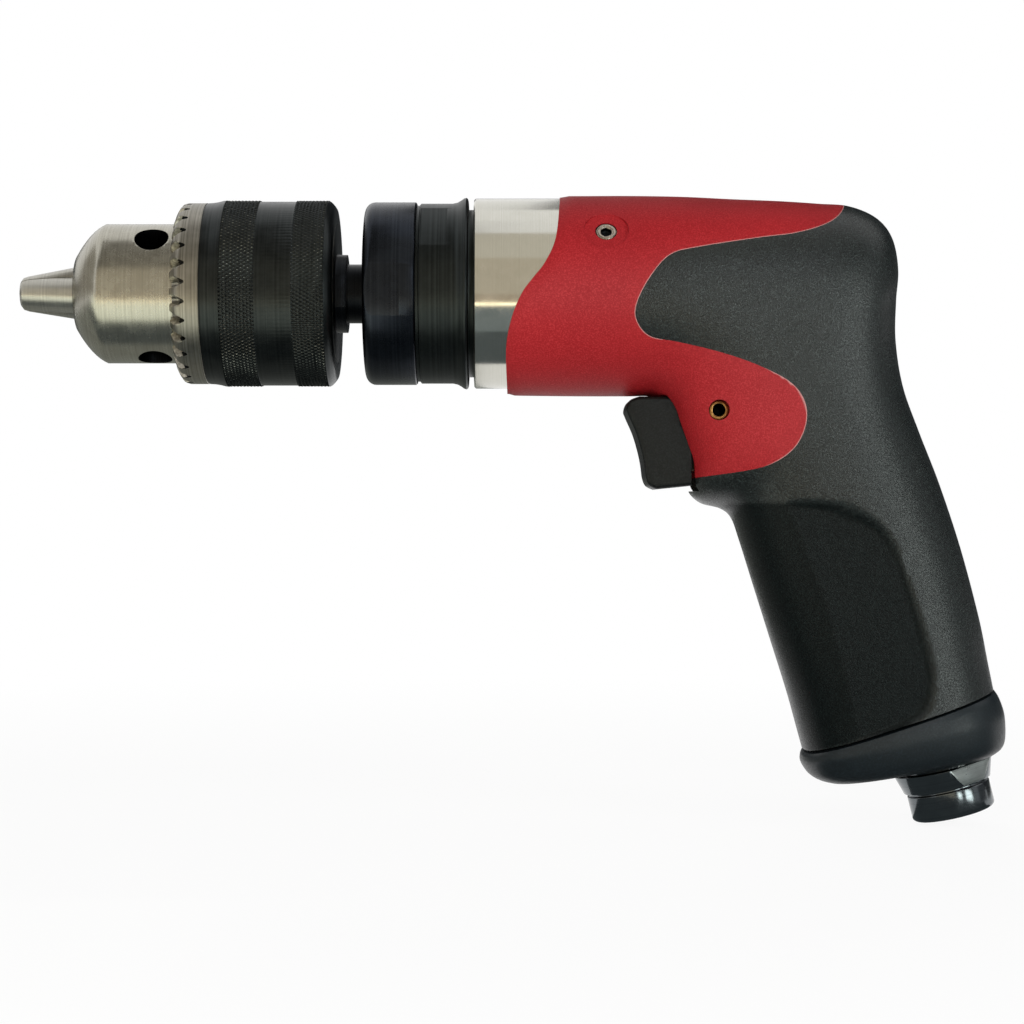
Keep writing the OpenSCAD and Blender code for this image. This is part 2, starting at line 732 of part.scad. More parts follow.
module spindle() {
  groove_x = front_bearing_x - 1.3;
  color("#7d7f80")
    difference() {
      turned([
        [0, spindle_x], [thread_d / 2 - 0.8, spindle_x], [thread_d / 2, spindle_x + 0.8],
        [thread_d / 2, chuck_end], [neck_r, chuck_end], [neck_r, front_bearing_x], [journal_r, front_bearing_x],
        [journal_r, carrier_x - 0.2], [journal_r + 2.2, carrier_x - 0.2], [journal_r + 2.2, carrier_x],
        [carrier_r, carrier_x], [carrier_r, carrier_x + carrier_l], [0, carrier_x + carrier_l]
      ]);
      ring(groove_x, 1.2, journal_r + cut, neck_r - 0.6);
      rod(spindle_x - cut, chuck_screw_l + cut, chuck_screw_r + seat_gap);
      rod(carrier_x + carrier_l - 2, 2 + cut, pinion_bore_r + 1.2);
      for (i = [0 : 2])
        rotate([120 * i, 0, 0])
          translate([0, 0, gear_centre])
            rod(carrier_x - cut, carrier_l + 2 * cut, planet_pin_r + seat_gap);
    }
}

module bearing_spacer() {
  color("#84878a")
    ring(front_bearing_x + spindle_bearing_w, bearing_shoulder_l, journal_r + 1.8, journal_r + seat_gap);
}

module retaining_ring() {
  color("#4b4d50")
    difference() {
      ring(front_bearing_x - 1.2, 1, journal_r + 1.6, neck_r - 0.5);
      translate([front_bearing_x - 2, -0.9, 0])
        cube([3, 1.8, journal_r + 3]);
    }
}

// Ball bearing in three pieces. The balls run half way between bore and outside.
function ball_track(bore_r, out_r) = (bore_r + out_r) / 2;
function ball_size(bore_r, out_r) = (out_r - bore_r) * 0.27;

module ball_groove(x, w, track, ball) {
  translate([x + w / 2, 0, 0])
    rotate([0, 90, 0])
      rotate_extrude()
        translate([track, 0])
          circle(r = ball + 0.1);
}

module outer_race(x, w, bore_r, out_r) {
  track = ball_track(bore_r, out_r);
  ball = ball_size(bore_r, out_r);
  color("#a5a8aa")
    difference() {
      ring(x, w, out_r, track + 0.75 * ball);
      ball_groove(x, w, track, ball);
    }
}

module inner_race(x, w, bore_r, out_r) {
  track = ball_track(bore_r, out_r);
  ball = ball_size(bore_r, out_r);
  color("#a5a8aa")
    difference() {
      ring(x, w, track - 0.75 * ball, bore_r + seat_gap);
      ball_groove(x, w, track, ball);
    }
}

// Balls with the ring that spaces them
module ball_set(x, w, bore_r, out_r) {
  track = ball_track(bore_r, out_r);
  ball = ball_size(bore_r, out_r);
  count = floor(PI * track / (ball * 1.35));
  cage_w = 2 * ball + 1;
  color("#c2a868") {
    difference() {
      ring(x + (w - cage_w) / 2, cage_w, track + 0.35 * ball, track - 0.35 * ball);
      for (i = [0 : count - 1])
        rotate([360 * i / count, 0, 0])
          translate([x + w / 2, 0, track])
            sphere(r = ball + 0.05);
    }
    for (i = [0 : count - 1])
      rotate([360 * i / count, 0, 0])
        translate([x + w / 2, 0, track])
          sphere(r = ball);
  }
}

module planet_pins() {
  color("#5f6264")
    for (i = [0 : 2])
      rotate([120 * i, 0, 0])
        translate([0, 0, gear_centre])
          rod(carrier_x, motor_x - 0.6 - carrier_x, planet_pin_r);
}

module planet_gear(i) {
  color("#8a8c8d")
    rotate([120 * i, 0, 0])
      translate([0, 0, gear_centre])
        difference() {
          along_x(gear_x, gear_w)
            rotate(180 / planet_teeth)
              polygon(gear_points(planet_teeth, addendum, dedendum, backlash));
          rod(gear_x - cut, gear_w + 2 * cut, planet_pin_r + run_gap);
        }
}

module ring_gear() {
  color("#77797b")
    difference() {
      rod(ring_gear_x, ring_gear_l, gear_bore_r - seat_gap);
      along_x(ring_gear_x - cut, ring_gear_l + 2 * cut)
        rotate(180 / ring_teeth)
          polygon(gear_points(ring_teeth, dedendum, addendum, -backlash));
    }
}

module sun_pinion() {
  color("#8a8c8d")
    difference() {
      along_x(gear_x, gear_w)
        polygon(gear_points(sun_teeth, addendum, dedendum, backlash));
      rod(gear_x - cut, gear_w + 2 * cut, pinion_bore_r + seat_gap);
    }
}

module barrel() {
  edge = 0.5;
  window_l = 14;
  color("#c4c2b4")
    difference() {
      turned([
        [gear_bore_r, barrel_x], [barrel_r - edge, barrel_x], [barrel_r, barrel_x + edge],
        [barrel_r, barrel_step_x], [barrel_rear_r, barrel_step_x], [barrel_rear_r, barrel_end],
        [motor_bore_r - 4.5, barrel_end], [motor_bore_r - 4.5, barrel_lip_x], [motor_bore_r, barrel_lip_x],
        [motor_bore_r, motor_x], [gear_bore_r, motor_x]
      ]);
      lock_screw_holes();
      for (side = [-1, 1])
        translate([rear_plate_x - window_l + 4, side * exhaust_side - exhaust_r, -barrel_r])
          cube([window_l, 2 * exhaust_r, barrel_r]);
      translate([port_x, 0, -barrel_r])
        cylinder(h = barrel_r, r = port_r);
    }
}

// Dowel holes that line the cylinder up with its end plates
module dowel_hole(x, length) {
  translate([0, 0, dowel_place])
    rod(x, length, dowel_r + seat_gap);
}

module front_end_plate() {
  color("#8b7f6a")
    difference() {
      rod(motor_x, end_plate_l, motor_r);
      rod(motor_x - cut, rotor_bearing_w + 0.2 + cut, rotor_bearing_r + seat_gap);
      rod(motor_x, end_plate_l + cut, rotor_shaft_r + 0.5);
      dowel_hole(cylinder_x - 4, 4 + cut);
    }
}

module cylinder_liner() {
  hole_count = 5;
  color("#6f7274")
    difference() {
      rod(cylinder_x, cylinder_l, motor_r);
      translate([0, 0, -eccentricity])
        rod(cylinder_x - cut, cylinder_l + 2 * cut, cylinder_bore_r);
      dowel_hole(cylinder_x - cut, cylinder_l + 2 * cut);
      for (side = [-1, 1])
        for (i = [0 : hole_count - 1])
          translate([rear_plate_x - 3 - 4.5 * i, side * exhaust_side, -motor_r])
            cylinder(h = motor_r, r = 1.5);
    }
}

module rear_end_plate() {
  color("#8b7f6a")
    difference() {
      rod(rear_plate_x, end_plate_l, motor_r);
      rod(rear_rotor_bearing_x, rotor_bearing_w + 0.2 + cut, rotor_bearing_r + seat_gap);
      rod(rear_plate_x - cut, end_plate_l + cut, rotor_shaft_r + 0.5);
      dowel_hole(rear_plate_x - cut, 4 + cut);
      translate([0, 0, -motor_r + 4])
        rod(rear_plate_x - cut, plate_wall + 3 + cut, 1.6);
      translate([port_x, 0, -motor_r - cut])
        cylinder(h = 5, r = 1.8);
    }
}

module cylinder_dowel() {
  color("#9b9da0")
    translate([0, 0, dowel_place])
      rod(cylinder_x - 3.5, cylinder_l + 7, dowel_r);
}

module wave_washer() {
  color("#55585b")
    ring(washer_x, washer_l, motor_r - 0.3, rotor_bearing_r - 1);
}

module rotor() {
  color("#66696b")
    difference() {
      union() {
        rod(cylinder_x + rotor_end_gap, rotor_l, rotor_r);
        rod(front_rotor_bearing_x, washer_x - front_rotor_bearing_x, rotor_shaft_r);
        rod(gear_x - 0.3, front_rotor_bearing_x - gear_x + 0.3 + cut, pinion_bore_r);
      }
      for (i = [0 : vane_count - 1])
        rotate([360 * i / vane_count, 0, 0])
          translate([cylinder_x, -vane_t / 2 - 0.05, rotor_r - vane_depth - 0.1])
            cube([cylinder_l, vane_t + 0.1, vane_depth + cut]);
    }
}

module vanes() {
  color("#5b4a33")
    for (i = [0 : vane_count - 1])
      rotate([360 * i / vane_count, 0, 0])
        translate([cylinder_x + rotor_end_gap, -vane_t / 2, rotor_r - vane_depth])
          cube([rotor_l, vane_t, vane_depth - 0.1]);
}

// Side view of the red part of the housing
module red_side() {
  edge = through(grip_edge, 3);
  polygon(concat([[-9, -shell_r * 2], [-9, shell_r * 2]], [[edge[0][0], shell_r * 2]], edge, [[36, -shell_r * 2]]));
}

// Front of the housing, cut to its S-shaped edge
module front_cut() {
  edge = through(front_edge, 3);
  translate([barrel_x, 0, 0])
    across(4 * shell_r)
      polygon(concat([[-9, shell_r + 4]], edge, [[-9, -shell_r - 4]]));
}

module red_prism() {
  translate([barrel_x, 0, 0])
    across(4 * shell_r)
      red_side();
}

// Room for the trigger in the front of the handle
module trigger_slot() {
  slot_w = trigger_w + 2 * free_gap;
  top = under_barrel - 0.02;
  low = trigger_bottom - free_gap - 0.1;
  translate([slot_x, -slot_w / 2, low])
    cube([slot_end - slot_x, slot_w, top - low]);
}

// Bar along the valve's axis
module valve_rod(x, length, r) {
  translate([0, 0, -valve_drop])
    rod(x, length, r);
}

// Frame of the air inlet: up along its own axis from its lower face
module at_inlet() {
  translate([inlet_x, 0, inlet_z])
    rotate([0, -inlet_tilt, 0])
      children();
}

module exhaust_passages() {
  for (side = [-1, 1])
    translate([barrel_x + exhaust_base[0], side * exhaust_side, exhaust_base[1]])
      rotate([0, -exhaust_lean, 0])
        translate([0, 0, -12])
          cylinder(h = exhaust_l + 12, r = exhaust_r);
}

module lock_screw_holes() {
  for (side = [-1, 1])
    rotate([side * lock_turn, 0, 0])
      translate([lock_x, 0, 0]) {
        translate([0, 0, motor_bore_r + 0.8])
          cylinder(h = shell_r, r = lock_shank_r + seat_gap);
        translate([0, 0, lock_seat_r])
          cylinder(h = shell_r, r = lock_head_r + 0.1);
      }
}

module cross_pin_hole(r) {
  translate([cross_pin_x, 0, cross_pin_z])
    rotate([90, 0, 0])
      cylinder(h = 4 * shell_r, r = r, center = true);
}

module housing() {
  color("#a02c2f")
    difference() {
      union() {
        loft(core_rows, core_sides);
        intersection() {
          loft(through(body_rows, 2), section_sides);
          red_prism();
        }
      }
      front_cut();
      rod(barrel_x, barrel_step_x - barrel_x, barrel_r + seat_gap);
      rod(barrel_x, barrel_end - barrel_x, barrel_rear_r + seat_gap);
      trigger_slot();
      valve_rod(slot_end - cut, chamber_end - slot_end + cut, bush_r + seat_gap);
      translate([port_x, 0, -valve_drop])
        cylinder(h = valve_drop, r = port_r);
      at_inlet() {
        cylinder(h = inlet_top, r = inlet_shank_r + seat_gap);
        translate([0, 0, inlet_top - cut])
          cylinder(h = (-valve_drop - inlet_z) / cos(inlet_tilt) - inlet_top + 2 * cut, r = air_bore_r);
      }
      exhaust_passages();
      lock_screw_holes();
      for (side = [-1, 1])
        rotate([side * lock_turn, 0, 0])
          translate([lock_x, 0, lock_flat_at])
            cylinder(h = shell_r, r = lock_flat_r);
      cross_pin_hole(cross_pin_r + seat_gap);
    }
}

module grip() {
  color("#333633")
    difference() {
      loft(through(body_rows, 2), section_sides);
      loft(core_rows, core_sides);
      red_prism();
      rod(barrel_x, barrel_step_x - barrel_x, barrel_r + seat_gap);
      trigger_slot();
      for (side = [-1, 1])
        translate([barrel_x, side * (2 * shell_r + grip_r + 0.4 - panel_depth), 0])
          across(4 * shell_r)
            polygon(through(panel_edge, 2));
    }
}

module lock_screws() {
  color("#8f7f70")
    for (side = [-1, 1])
      rotate([side * lock_turn, 0, 0])
        translate([lock_x, 0, 0])
          difference() {
            union() {
              translate([0, 0, motor_bore_r + 1])
                cylinder(h = lock_seat_r - motor_bore_r, r = lock_shank_r);
              translate([0, 0, lock_seat_r])
                cylinder(h = lock_flat_at - lock_seat_r - 0.2, r = lock_head_r);
            }
            translate([0, 0, lock_flat_at - 1.6])
              cylinder(h = 2, r = 1.35, $fn = 6);
          }
}

module cross_pin() {
  wall = 0.8;
  bore_l = 12;
  color("#b98d4c")
    translate([cross_pin_x, 0, cross_pin_z])
      rotate([90, 0, 0])
        difference() {
          cylinder(h = cross_pin_l, r = cross_pin_r, center = true);
          for (side = [-1, 1])
            translate([0, 0, side * cross_pin_l / 2])
              cylinder(h = 2 * bore_l, r = cross_pin_r - wall, center = true);
        }
}

module trigger() {
  trigger_h = trigger_top - trigger_bottom;
  half_w = trigger_w / 2;
  front = through([
    for (p = [[0.8, 0], [0.945, 0.04], [1, 0.13], [0.973, 0.2], [0.858, 0.387], [0.777, 0.575], [0.73, 0.73],
              [0.703, 0.873], [0.649, 0.958], [0.534, 1]])
      [trigger_rear - p[0] * trigger_depth, trigger_top - p[1] * trigger_h]
  ], 2);
  side = [
    for (p = [[0.676, 1], [0.81, 0.933], [0.919, 0.775], [0.98, 0.55], [1.014, 0.258]])
      [trigger_rear - p[0] * trigger_depth, p[1] * half_w]
  ];
  color("#242827")
    difference() {
      intersection() {
        across(trigger_w)
          polygon(concat(front, [
            [trigger_rear, trigger_bottom + 0.04 * trigger_h], [trigger_rear, trigger_step_z],
            [trigger_step_x, trigger_step_z], [trigger_step_x, trigger_top]
          ]));
        translate([0, 0, trigger_bottom - cut])
          linear_extrude(-trigger_bottom)
            polygon(concat(
              [[trigger_rear + cut, -half_w], [trigger_rear + cut, half_w]],
              side,
              [for (i = [len(side) - 1 : -1 : 0]) [side[i][0], -side[i][1]]]
            ));
      }
      valve_rod(trigger_wall_x, 2 * trigger_travel, bush_r + free_gap);
      valve_rod(trigger_wall_x - 2, 3, stem_r + seat_gap);
    }
}

module valve_stem() {
  color("#a8abad")
    union() {
      valve_rod(trigger_wall_x - 2, stem_end - trigger_wall_x + 2, stem_r);
      valve_rod(stem_end - stem_collar_l, stem_collar_l, stem_r + 1.4);
    }
}

module valve_poppet() {
  color("#2c2c2c")
    difference() {
      valve_rod(poppet_x, poppet_l, poppet_r);
      valve_rod(poppet_x - cut, poppet_l + 2 * cut, stem_r + seat_gap);
    }
}

module stem_seal() {
  color("#1c1c1c")
    difference() {
      valve_rod(bush_x + 1.6, 1.6, stem_r + 1.6);
      valve_rod(bush_x, 4, stem_r + run_gap);
    }
}

module valve_bush() {
  throat_x = bush_x + 5;
  throat_r = bush_r - 2.4;
  color("#b08d4a")
    difference() {
      valve_rod(bush_x, bush_l, bush_r);
      valve_rod(bush_x - cut, bush_l, stem_r + run_gap);
      valve_rod(bush_x + 1.5, 1.8, stem_r + 1.6 + seat_gap);
      valve_rod(throat_x, bush_l, throat_r);
      translate([port_x, 0, -valve_drop])
        cylinder(h = bush_d, r = port_r);
      cross_pin_hole(cross_pin_r + seat_gap);
    }
}

// Spring wire as a skin over small rings of points
module valve_spring() {
  rings_per_turn = 8;
  sides = 6;
  count = spring_turns * rings_per_turn;
  pitch = spring_l / spring_turns;
  rise = atan(pitch / (2 * PI * spring_r));
  points = [
    for (i = [0 : count])
      for (k = [0 : sides - 1])
        let (
          a = 360 * i / rings_per_turn,
          b = 360 * k / sides,
          out = spring_wire_d / 2 * cos(b),
          up = spring_wire_d / 2 * sin(b)
        )
        [
          spring_x + spring_l * i / count + up * cos(rise),
          (spring_r + out) * cos(a) + up * sin(rise) * sin(a),
          (spring_r + out) * sin(a) - up * sin(rise) * cos(a) - valve_drop
        ]
  ];
  faces = concat(
    [
      for (i = [0 : count - 1])
        for (k = [0 : sides - 1])
          let (a = i * sides + k, b = i * sides + (k + 1) % sides)
            each [[a, a + sides, b], [b, a + sides, b + sides]]
    ],
    [[for (k = [0 : sides - 1]) k], [for (k = [sides - 1 : -1 : 0]) count * sides + k]]
  );
  color("#9a9c9e")
    polyhedron(points, faces);
}

module end_cap() {
  slot_count = 4;
  color("#1f2427")
    difference() {
      loft(through(cap_rows, 2), section_sides);
      loft([room_row(-0.2, 0), room_row(1, 0)], core_sides);
      at_inlet() {
        cylinder(h = inlet_top, r = inlet_shank_r + seat_gap);
        cylinder(h = inlet_seat, r = inlet_neck_r + 0.6);
      }
      for (i = [0 : slot_count - 1])
        translate([barrel_x + base_front[0] + 9 + 4 * i, -8, base_front[1] - 14])
          cube([1.6, 16, 10]);
    }
}

// Section of the room inside the end cap, from 0 at its mouth to 1 at its floor, drawn in by a gap
function room_row(f, gap) = cap_row(
  cap_wall - 0.9 + 0.5 * f + gap,
  0.4 - cap_wall - 0.6 * f - gap,
  cap_gap + 4.5 * f,
  cap_gap + 8.5 * f,
  0.3 - cap_wall - 0.3 * f - gap
);

module silencer() {
  gap = 0.15;
  color("#6b6a62")
    difference() {
      loft([room_row(0.04, gap), room_row(0.96, gap)], core_sides);
      at_inlet()
        cylinder(h = inlet_top, r = inlet_shank_r + 0.4);
    }
}

module inlet_bush() {
  chamfer = 0.8;
  color("#3a3d40")
    at_inlet()
      difference() {
        union() {
          cylinder(h = chamfer, r1 = inlet_r - chamfer, r2 = inlet_r);
          translate([0, 0, chamfer])
            cylinder(h = inlet_ring_l - chamfer, r = inlet_r);
          cylinder(h = inlet_top, r = inlet_shank_r);
          intersection() {
            translate([0, 0, inlet_seat - inlet_neck_l])
              cylinder(h = inlet_neck_l, r1 = inlet_r + 0.5, r2 = inlet_neck_r);
            rotate(inlet_turn)
              translate([-inlet_flats / 2, -inlet_neck_r, 0])
                cube([inlet_flats, 2 * inlet_neck_r, inlet_seat]);
          }
        }
        translate([0, 0, -cut])
          cylinder(h = inlet_thread_l + cut, d = inlet_thread_d);
        cylinder(h = inlet_top + cut, r = inlet_thread_d / 2 - 0.9);
        translate([0, 0, inlet_top - strainer_l])
          cylinder(h = strainer_l + cut, r = inlet_shank_r - 1.4);
      }
}

module inlet_seal() {
  color("#17181a")
    at_inlet()
      difference() {
        translate([0, 0, inlet_thread_l])
          cylinder(h = 1.2, r = inlet_thread_d / 2 - 0.9 - seat_gap);
        cylinder(h = inlet_top, r = inlet_thread_d / 2 - 2.2);
      }
}

module inlet_strainer() {
  color("#b9b4a4")
    at_inlet()
      difference() {
        translate([0, 0, inlet_top - strainer_l])
          cylinder(h = strainer_l, r = inlet_shank_r - 1.4 - seat_gap);
        for (x = [-2 : 2])
          for (y = [-2 : 2])
            translate([2.2 * x, 2.2 * y, inlet_top - strainer_l - cut])
              cylinder(h = strainer_l + 2 * cut, r = 0.7);
      }
}

chuck_body();
chuck_sleeve();
chuck_nut();
chuck_screw();
for (i = [0 : 2]) {
  chuck_jaw(i);
  planet_gear(i);
}
clamp_nut();
gear_case();
spindle_seal();
spindle();
bearing_spacer();
retaining_ring();
outer_race(front_bearing_x, spindle_bearing_w, journal_r, spindle_bearing_r);  // front_bearing_outer
inner_race(front_bearing_x, spindle_bearing_w, journal_r, spindle_bearing_r);  // front_bearing_inner
ball_set(front_bearing_x, spindle_bearing_w, journal_r, spindle_bearing_r);  // front_bearing_balls
outer_race(rear_bearing_x, spindle_bearing_w, journal_r, spindle_bearing_r);  // rear_bearing_outer
inner_race(rear_bearing_x, spindle_bearing_w, journal_r, spindle_bearing_r);  // rear_bearing_inner
ball_set(rear_bearing_x, spindle_bearing_w, journal_r, spindle_bearing_r);  // rear_bearing_balls
planet_pins();
ring_gear();
sun_pinion();
barrel();
front_end_plate();
cylinder_liner();  // cylinder
rear_end_plate();
cylinder_dowel();
wave_washer();
rotor();
vanes();
outer_race(front_rotor_bearing_x, rotor_bearing_w, rotor_shaft_r, rotor_bearing_r);  // rotor_front_bearing_outer
inner_race(front_rotor_bearing_x, rotor_bearing_w, rotor_shaft_r, rotor_bearing_r);  // rotor_front_bearing_inner
ball_set(front_rotor_bearing_x, rotor_bearing_w, rotor_shaft_r, rotor_bearing_r);  // rotor_front_bearing_balls
outer_race(rear_rotor_bearing_x, rotor_bearing_w, rotor_shaft_r, rotor_bearing_r);  // rotor_rear_bearing_outer
inner_race(rear_rotor_bearing_x, rotor_bearing_w, rotor_shaft_r, rotor_bearing_r);  // rotor_rear_bearing_inner
ball_set(rear_rotor_bearing_x, rotor_bearing_w, rotor_shaft_r, rotor_bearing_r);  // rotor_rear_bearing_balls
housing();
grip();
lock_screws();
cross_pin();
trigger();
valve_stem();
valve_poppet();
stem_seal();
valve_bush();
valve_spring();
end_cap();
silencer();
inlet_bush();
inlet_seal();
inlet_strainer();
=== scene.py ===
import math

import bpy
from mathutils import Matrix, Vector


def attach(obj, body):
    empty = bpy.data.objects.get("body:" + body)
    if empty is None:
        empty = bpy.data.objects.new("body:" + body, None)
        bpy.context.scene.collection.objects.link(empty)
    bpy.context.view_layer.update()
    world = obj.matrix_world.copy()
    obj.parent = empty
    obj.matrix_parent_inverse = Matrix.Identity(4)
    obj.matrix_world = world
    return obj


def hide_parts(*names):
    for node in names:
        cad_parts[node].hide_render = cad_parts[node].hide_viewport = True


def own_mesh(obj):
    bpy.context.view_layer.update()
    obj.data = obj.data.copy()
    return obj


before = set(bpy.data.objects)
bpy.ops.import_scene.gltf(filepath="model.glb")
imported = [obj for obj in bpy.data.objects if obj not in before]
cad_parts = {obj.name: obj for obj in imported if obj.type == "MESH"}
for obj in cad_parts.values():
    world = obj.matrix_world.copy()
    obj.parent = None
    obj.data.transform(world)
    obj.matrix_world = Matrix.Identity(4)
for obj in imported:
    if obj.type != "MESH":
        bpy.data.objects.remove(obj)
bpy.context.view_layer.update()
bpy.context.scene.view_settings.view_transform = "Standard"
print("frame loaded")

# small helpers, sizes are given in millimetres
mergeReach = 0.002  # points closer than this become one
farOut = 40  # cutting tools reach this far, outside every piece


def mm(*values):
    return Vector([v / 1000 for v in values]) if len(values) > 1 else values[0] / 1000


def pick(*objs):
    if bpy.context.object and bpy.context.object.mode != "OBJECT":
        bpy.ops.object.mode_set(mode="OBJECT")
    bpy.ops.object.select_all(action="DESELECT")
    for obj in objs:
        obj.select_set(True)
        bpy.context.view_layer.objects.active = obj


def openMesh(obj):
    pick(obj)
    bpy.ops.object.mode_set(mode="EDIT")
    bpy.ops.mesh.select_all(action="SELECT")


def closeMesh():
    bpy.ops.mesh.select_all(action="SELECT")
    bpy.ops.mesh.remove_doubles(threshold=mm(mergeReach))
    bpy.ops.mesh.normals_make_consistent(inside=False)
    bpy.ops.object.mode_set(mode="OBJECT")


def settle(obj):  # puts the object's place into its mesh
    pick(obj)
    bpy.ops.object.transform_apply(location=True, rotation=True, scale=True)
    return obj


def drawLine(name, points, filled=False):  # a closed line, drawn by extruding one point after another
    pick()
    bpy.ops.mesh.primitive_plane_add(size=mm(0.1), location=points[0])
    line = settle(bpy.context.object)
    line.name = name
    openMesh(line)
    bpy.ops.mesh.merge(type="CENTER")
    for here, there in zip(points, points[1:]):
        bpy.ops.mesh.extrude_region_move(TRANSFORM_OT_translate={"value": there - here})
    bpy.ops.mesh.select_all(action="SELECT")
    bpy.ops.mesh.edge_face_add()
    if not filled:
        bpy.ops.mesh.delete(type="ONLY_FACE")
    bpy.ops.object.mode_set(mode="OBJECT")
    return line


def turnPiece(name, profile, steps=192):  # profile as (place along the axis, radius)
    piece = drawLine(name, [mm(x, 0, r) for x, r in profile])
    openMesh(piece)
    bpy.ops.mesh.spin(steps=steps, angle=2 * math.pi, center=(0, 0, 0), axis=(1, 0, 0))
    closeMesh()
    return piece


def slab(name, outline, width):  # side outline as (x, z), drawn out to both sides
    piece = drawLine(name, [mm(x, -width / 2, z) for x, z in outline], filled=True)
    openMesh(piece)
    bpy.ops.mesh.extrude_region_move(TRANSFORM_OT_translate={"value": mm(0, width, 0)})
    closeMesh()
    return piece


def rodPiece(name, start, end, radius, sides=64):
    start, end = mm(*start), mm(*end)
    pick()
    bpy.ops.mesh.primitive_cylinder_add(
        vertices=sides, radius=mm(radius), depth=(end - start).length, location=(start + end) / 2,
        rotation=(end - start).to_track_quat("Z", "Y").to_euler())
    piece = settle(bpy.context.object)
    piece.name = name
    return piece


def block(name, low, high):
    low, high = mm(*low), mm(*high)
    pick()
    bpy.ops.mesh.primitive_cube_add(size=1, location=(low + high) / 2, scale=high - low)
    piece = settle(bpy.context.object)
    piece.name = name
    return piece


def copyPiece(obj, name):
    pick(obj)
    bpy.ops.object.duplicate()
    bpy.context.object.name = name
    return bpy.context.object


def joinPieces(*objs):
    pick(*objs)
    bpy.ops.object.join()
    return bpy.context.object


def applyModifier(obj, kind, **settings):
    pick(obj)
    modifier = obj.modifiers.new(kind.title(), kind)
    for key, value in settings.items():
        setattr(modifier, key, value)
    bpy.ops.object.modifier_apply(modifier=modifier.name)


def carve(obj, tool, way="DIFFERENCE"):
    applyModifier(obj, "BOOLEAN", operation=way, solver="EXACT", object=tool)
    bpy.data.objects.remove(tool)


def drillHole(obj, start, end, radius, sides=64):
    carve(obj, rodPiece("drillTool", start, end, radius, sides))


def millFlats(obj, turn, at, low, high):  # two flats on opposite sides, at this distance from the X axis
    for opposite in (0, 180):
        tool = block("flatTool", (low, -farOut, at), (high, farOut, farOut))
        tool.rotation_euler = (math.radians(turn + opposite), 0, 0)
        carve(obj, settle(tool))


def breakEdges(obj, width, angle=40, segments=2):  # small rounded edges
    applyModifier(obj, "BEVEL", width=mm(width), segments=segments, limit_method="ANGLE",
                  angle_limit=math.radians(angle), miter_outer="MITER_ARC")


def shade(obj, angle=35):
    pick(obj)
    bpy.ops.object.shade_smooth_by_angle(angle=math.radians(angle))


def spoke(turn, radius, x):  # point at an angle from straight up towards the camera
    return x, -math.sin(math.radians(turn)) * radius, math.cos(math.radians(turn)) * radius


def shares(count):  # even steps from 0 to 1
    return [i / count for i in range(count + 1)]


def between(t, p, q, r, s):  # a place from q to r, on a smooth curve that comes from p and goes to s
    slope = t / 2 * (r - p)
    bend = t * t / 2 * (2 * p - 5 * q + 4 * r - s)
    return q + slope + bend + t ** 3 / 2 * (3 * q - p - 3 * r + s)


def through(rows, steps):  # smooth curve through rows of numbers
    curve = []
    for i in range(len(rows) - 1):
        a, b = rows[max(i - 1, 0)], rows[i]
        c, d = rows[i + 1], rows[min(i + 2, len(rows) - 1)]
        for k in range(steps):
            curve.append(tuple(between(k / steps, *four) for four in zip(a, b, c, d)))
    return curve + [tuple(rows[-1])]


def squared(value, squareness):  # moves a circle's coordinate out towards a square's
    return math.copysign(abs(value) ** (2 / squareness), value)


def loftPiece(name, rows, around):  # skin over sections, shaped from a flat grid
    pick()
    bpy.ops.mesh.primitive_grid_add(x_subdivisions=len(rows) - 1, y_subdivisions=around, size=1)
    piece = bpy.context.object
    piece.name = name
    for vertex in piece.data.vertices:
        row = rows[round((vertex.co.x + 0.5) * (len(rows) - 1))]
        xLow, zLow, xHigh, zHigh, halfWidth, squareness = row
        turn = 2 * math.pi * (round((vertex.co.y + 0.5) * around) % around) / around
        along = squared(math.cos(turn), squareness)
        aside = squared(math.sin(turn), squareness)
        vertex.co = mm(
            (xLow + xHigh) / 2 + along * (xHigh - xLow) / 2, aside * halfWidth,
            (zLow + zHigh) / 2 + along * (zHigh - zLow) / 2)
    openMesh(piece)
    bpy.ops.mesh.remove_doubles(threshold=mm(mergeReach))
    bpy.ops.mesh.select_all(action="SELECT")
    bpy.ops.mesh.fill_holes(sides=0)
    closeMesh()
    return piece


def pointValues(obj, name, values):  # stores a number at every vertex for a material to read
    stored = obj.data.attributes.new(name=name, type="FLOAT", domain="POINT")
    stored.data.foreach_set("value", values)


def finishPiece(obj, body, slot, material, *nodes):
    obj.data.materials.clear()
    obj.data.materials.append(material)
    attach(obj, body)
    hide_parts(*nodes)


# materials
def linear(hexColour):
    parts = [int(hexColour[i:i + 2], 16) / 255 for i in (1, 3, 5)]
    return [p / 12.92 if p <= 0.04045 else ((p + 0.055) / 1.055) ** 2.4 for p in parts] + [1]


def addNode(material, kind, settings=None, links=None):
    made = material.node_tree.nodes.new(kind)
    for key, value in (settings or {}).items():
        if isinstance(key, str) and hasattr(made, key):
            setattr(made, key, value)
        else:
            made.inputs[key].default_value = value
    for key, source in (links or {}).items():
        material.node_tree.links.new(source, made.inputs[key])
    return made


def startMaterial(name, settings):
    material = bpy.data.materials.new(name)
    material.use_nodes = True
    shader = material.node_tree.nodes["Principled BSDF"]
    for key, value in settings.items():
        shader.inputs[key].default_value = value
    place = addNode(material, "ShaderNodeTexCoord").outputs["Object"]
    return material, shader, place


def wire(material, shader, sources):
    for socket, source in sources.items():
        material.node_tree.links.new(source, shader.inputs[socket])


def perMm(size):  # noise scale for a grain of this size in millimetres
    return 1000 / size


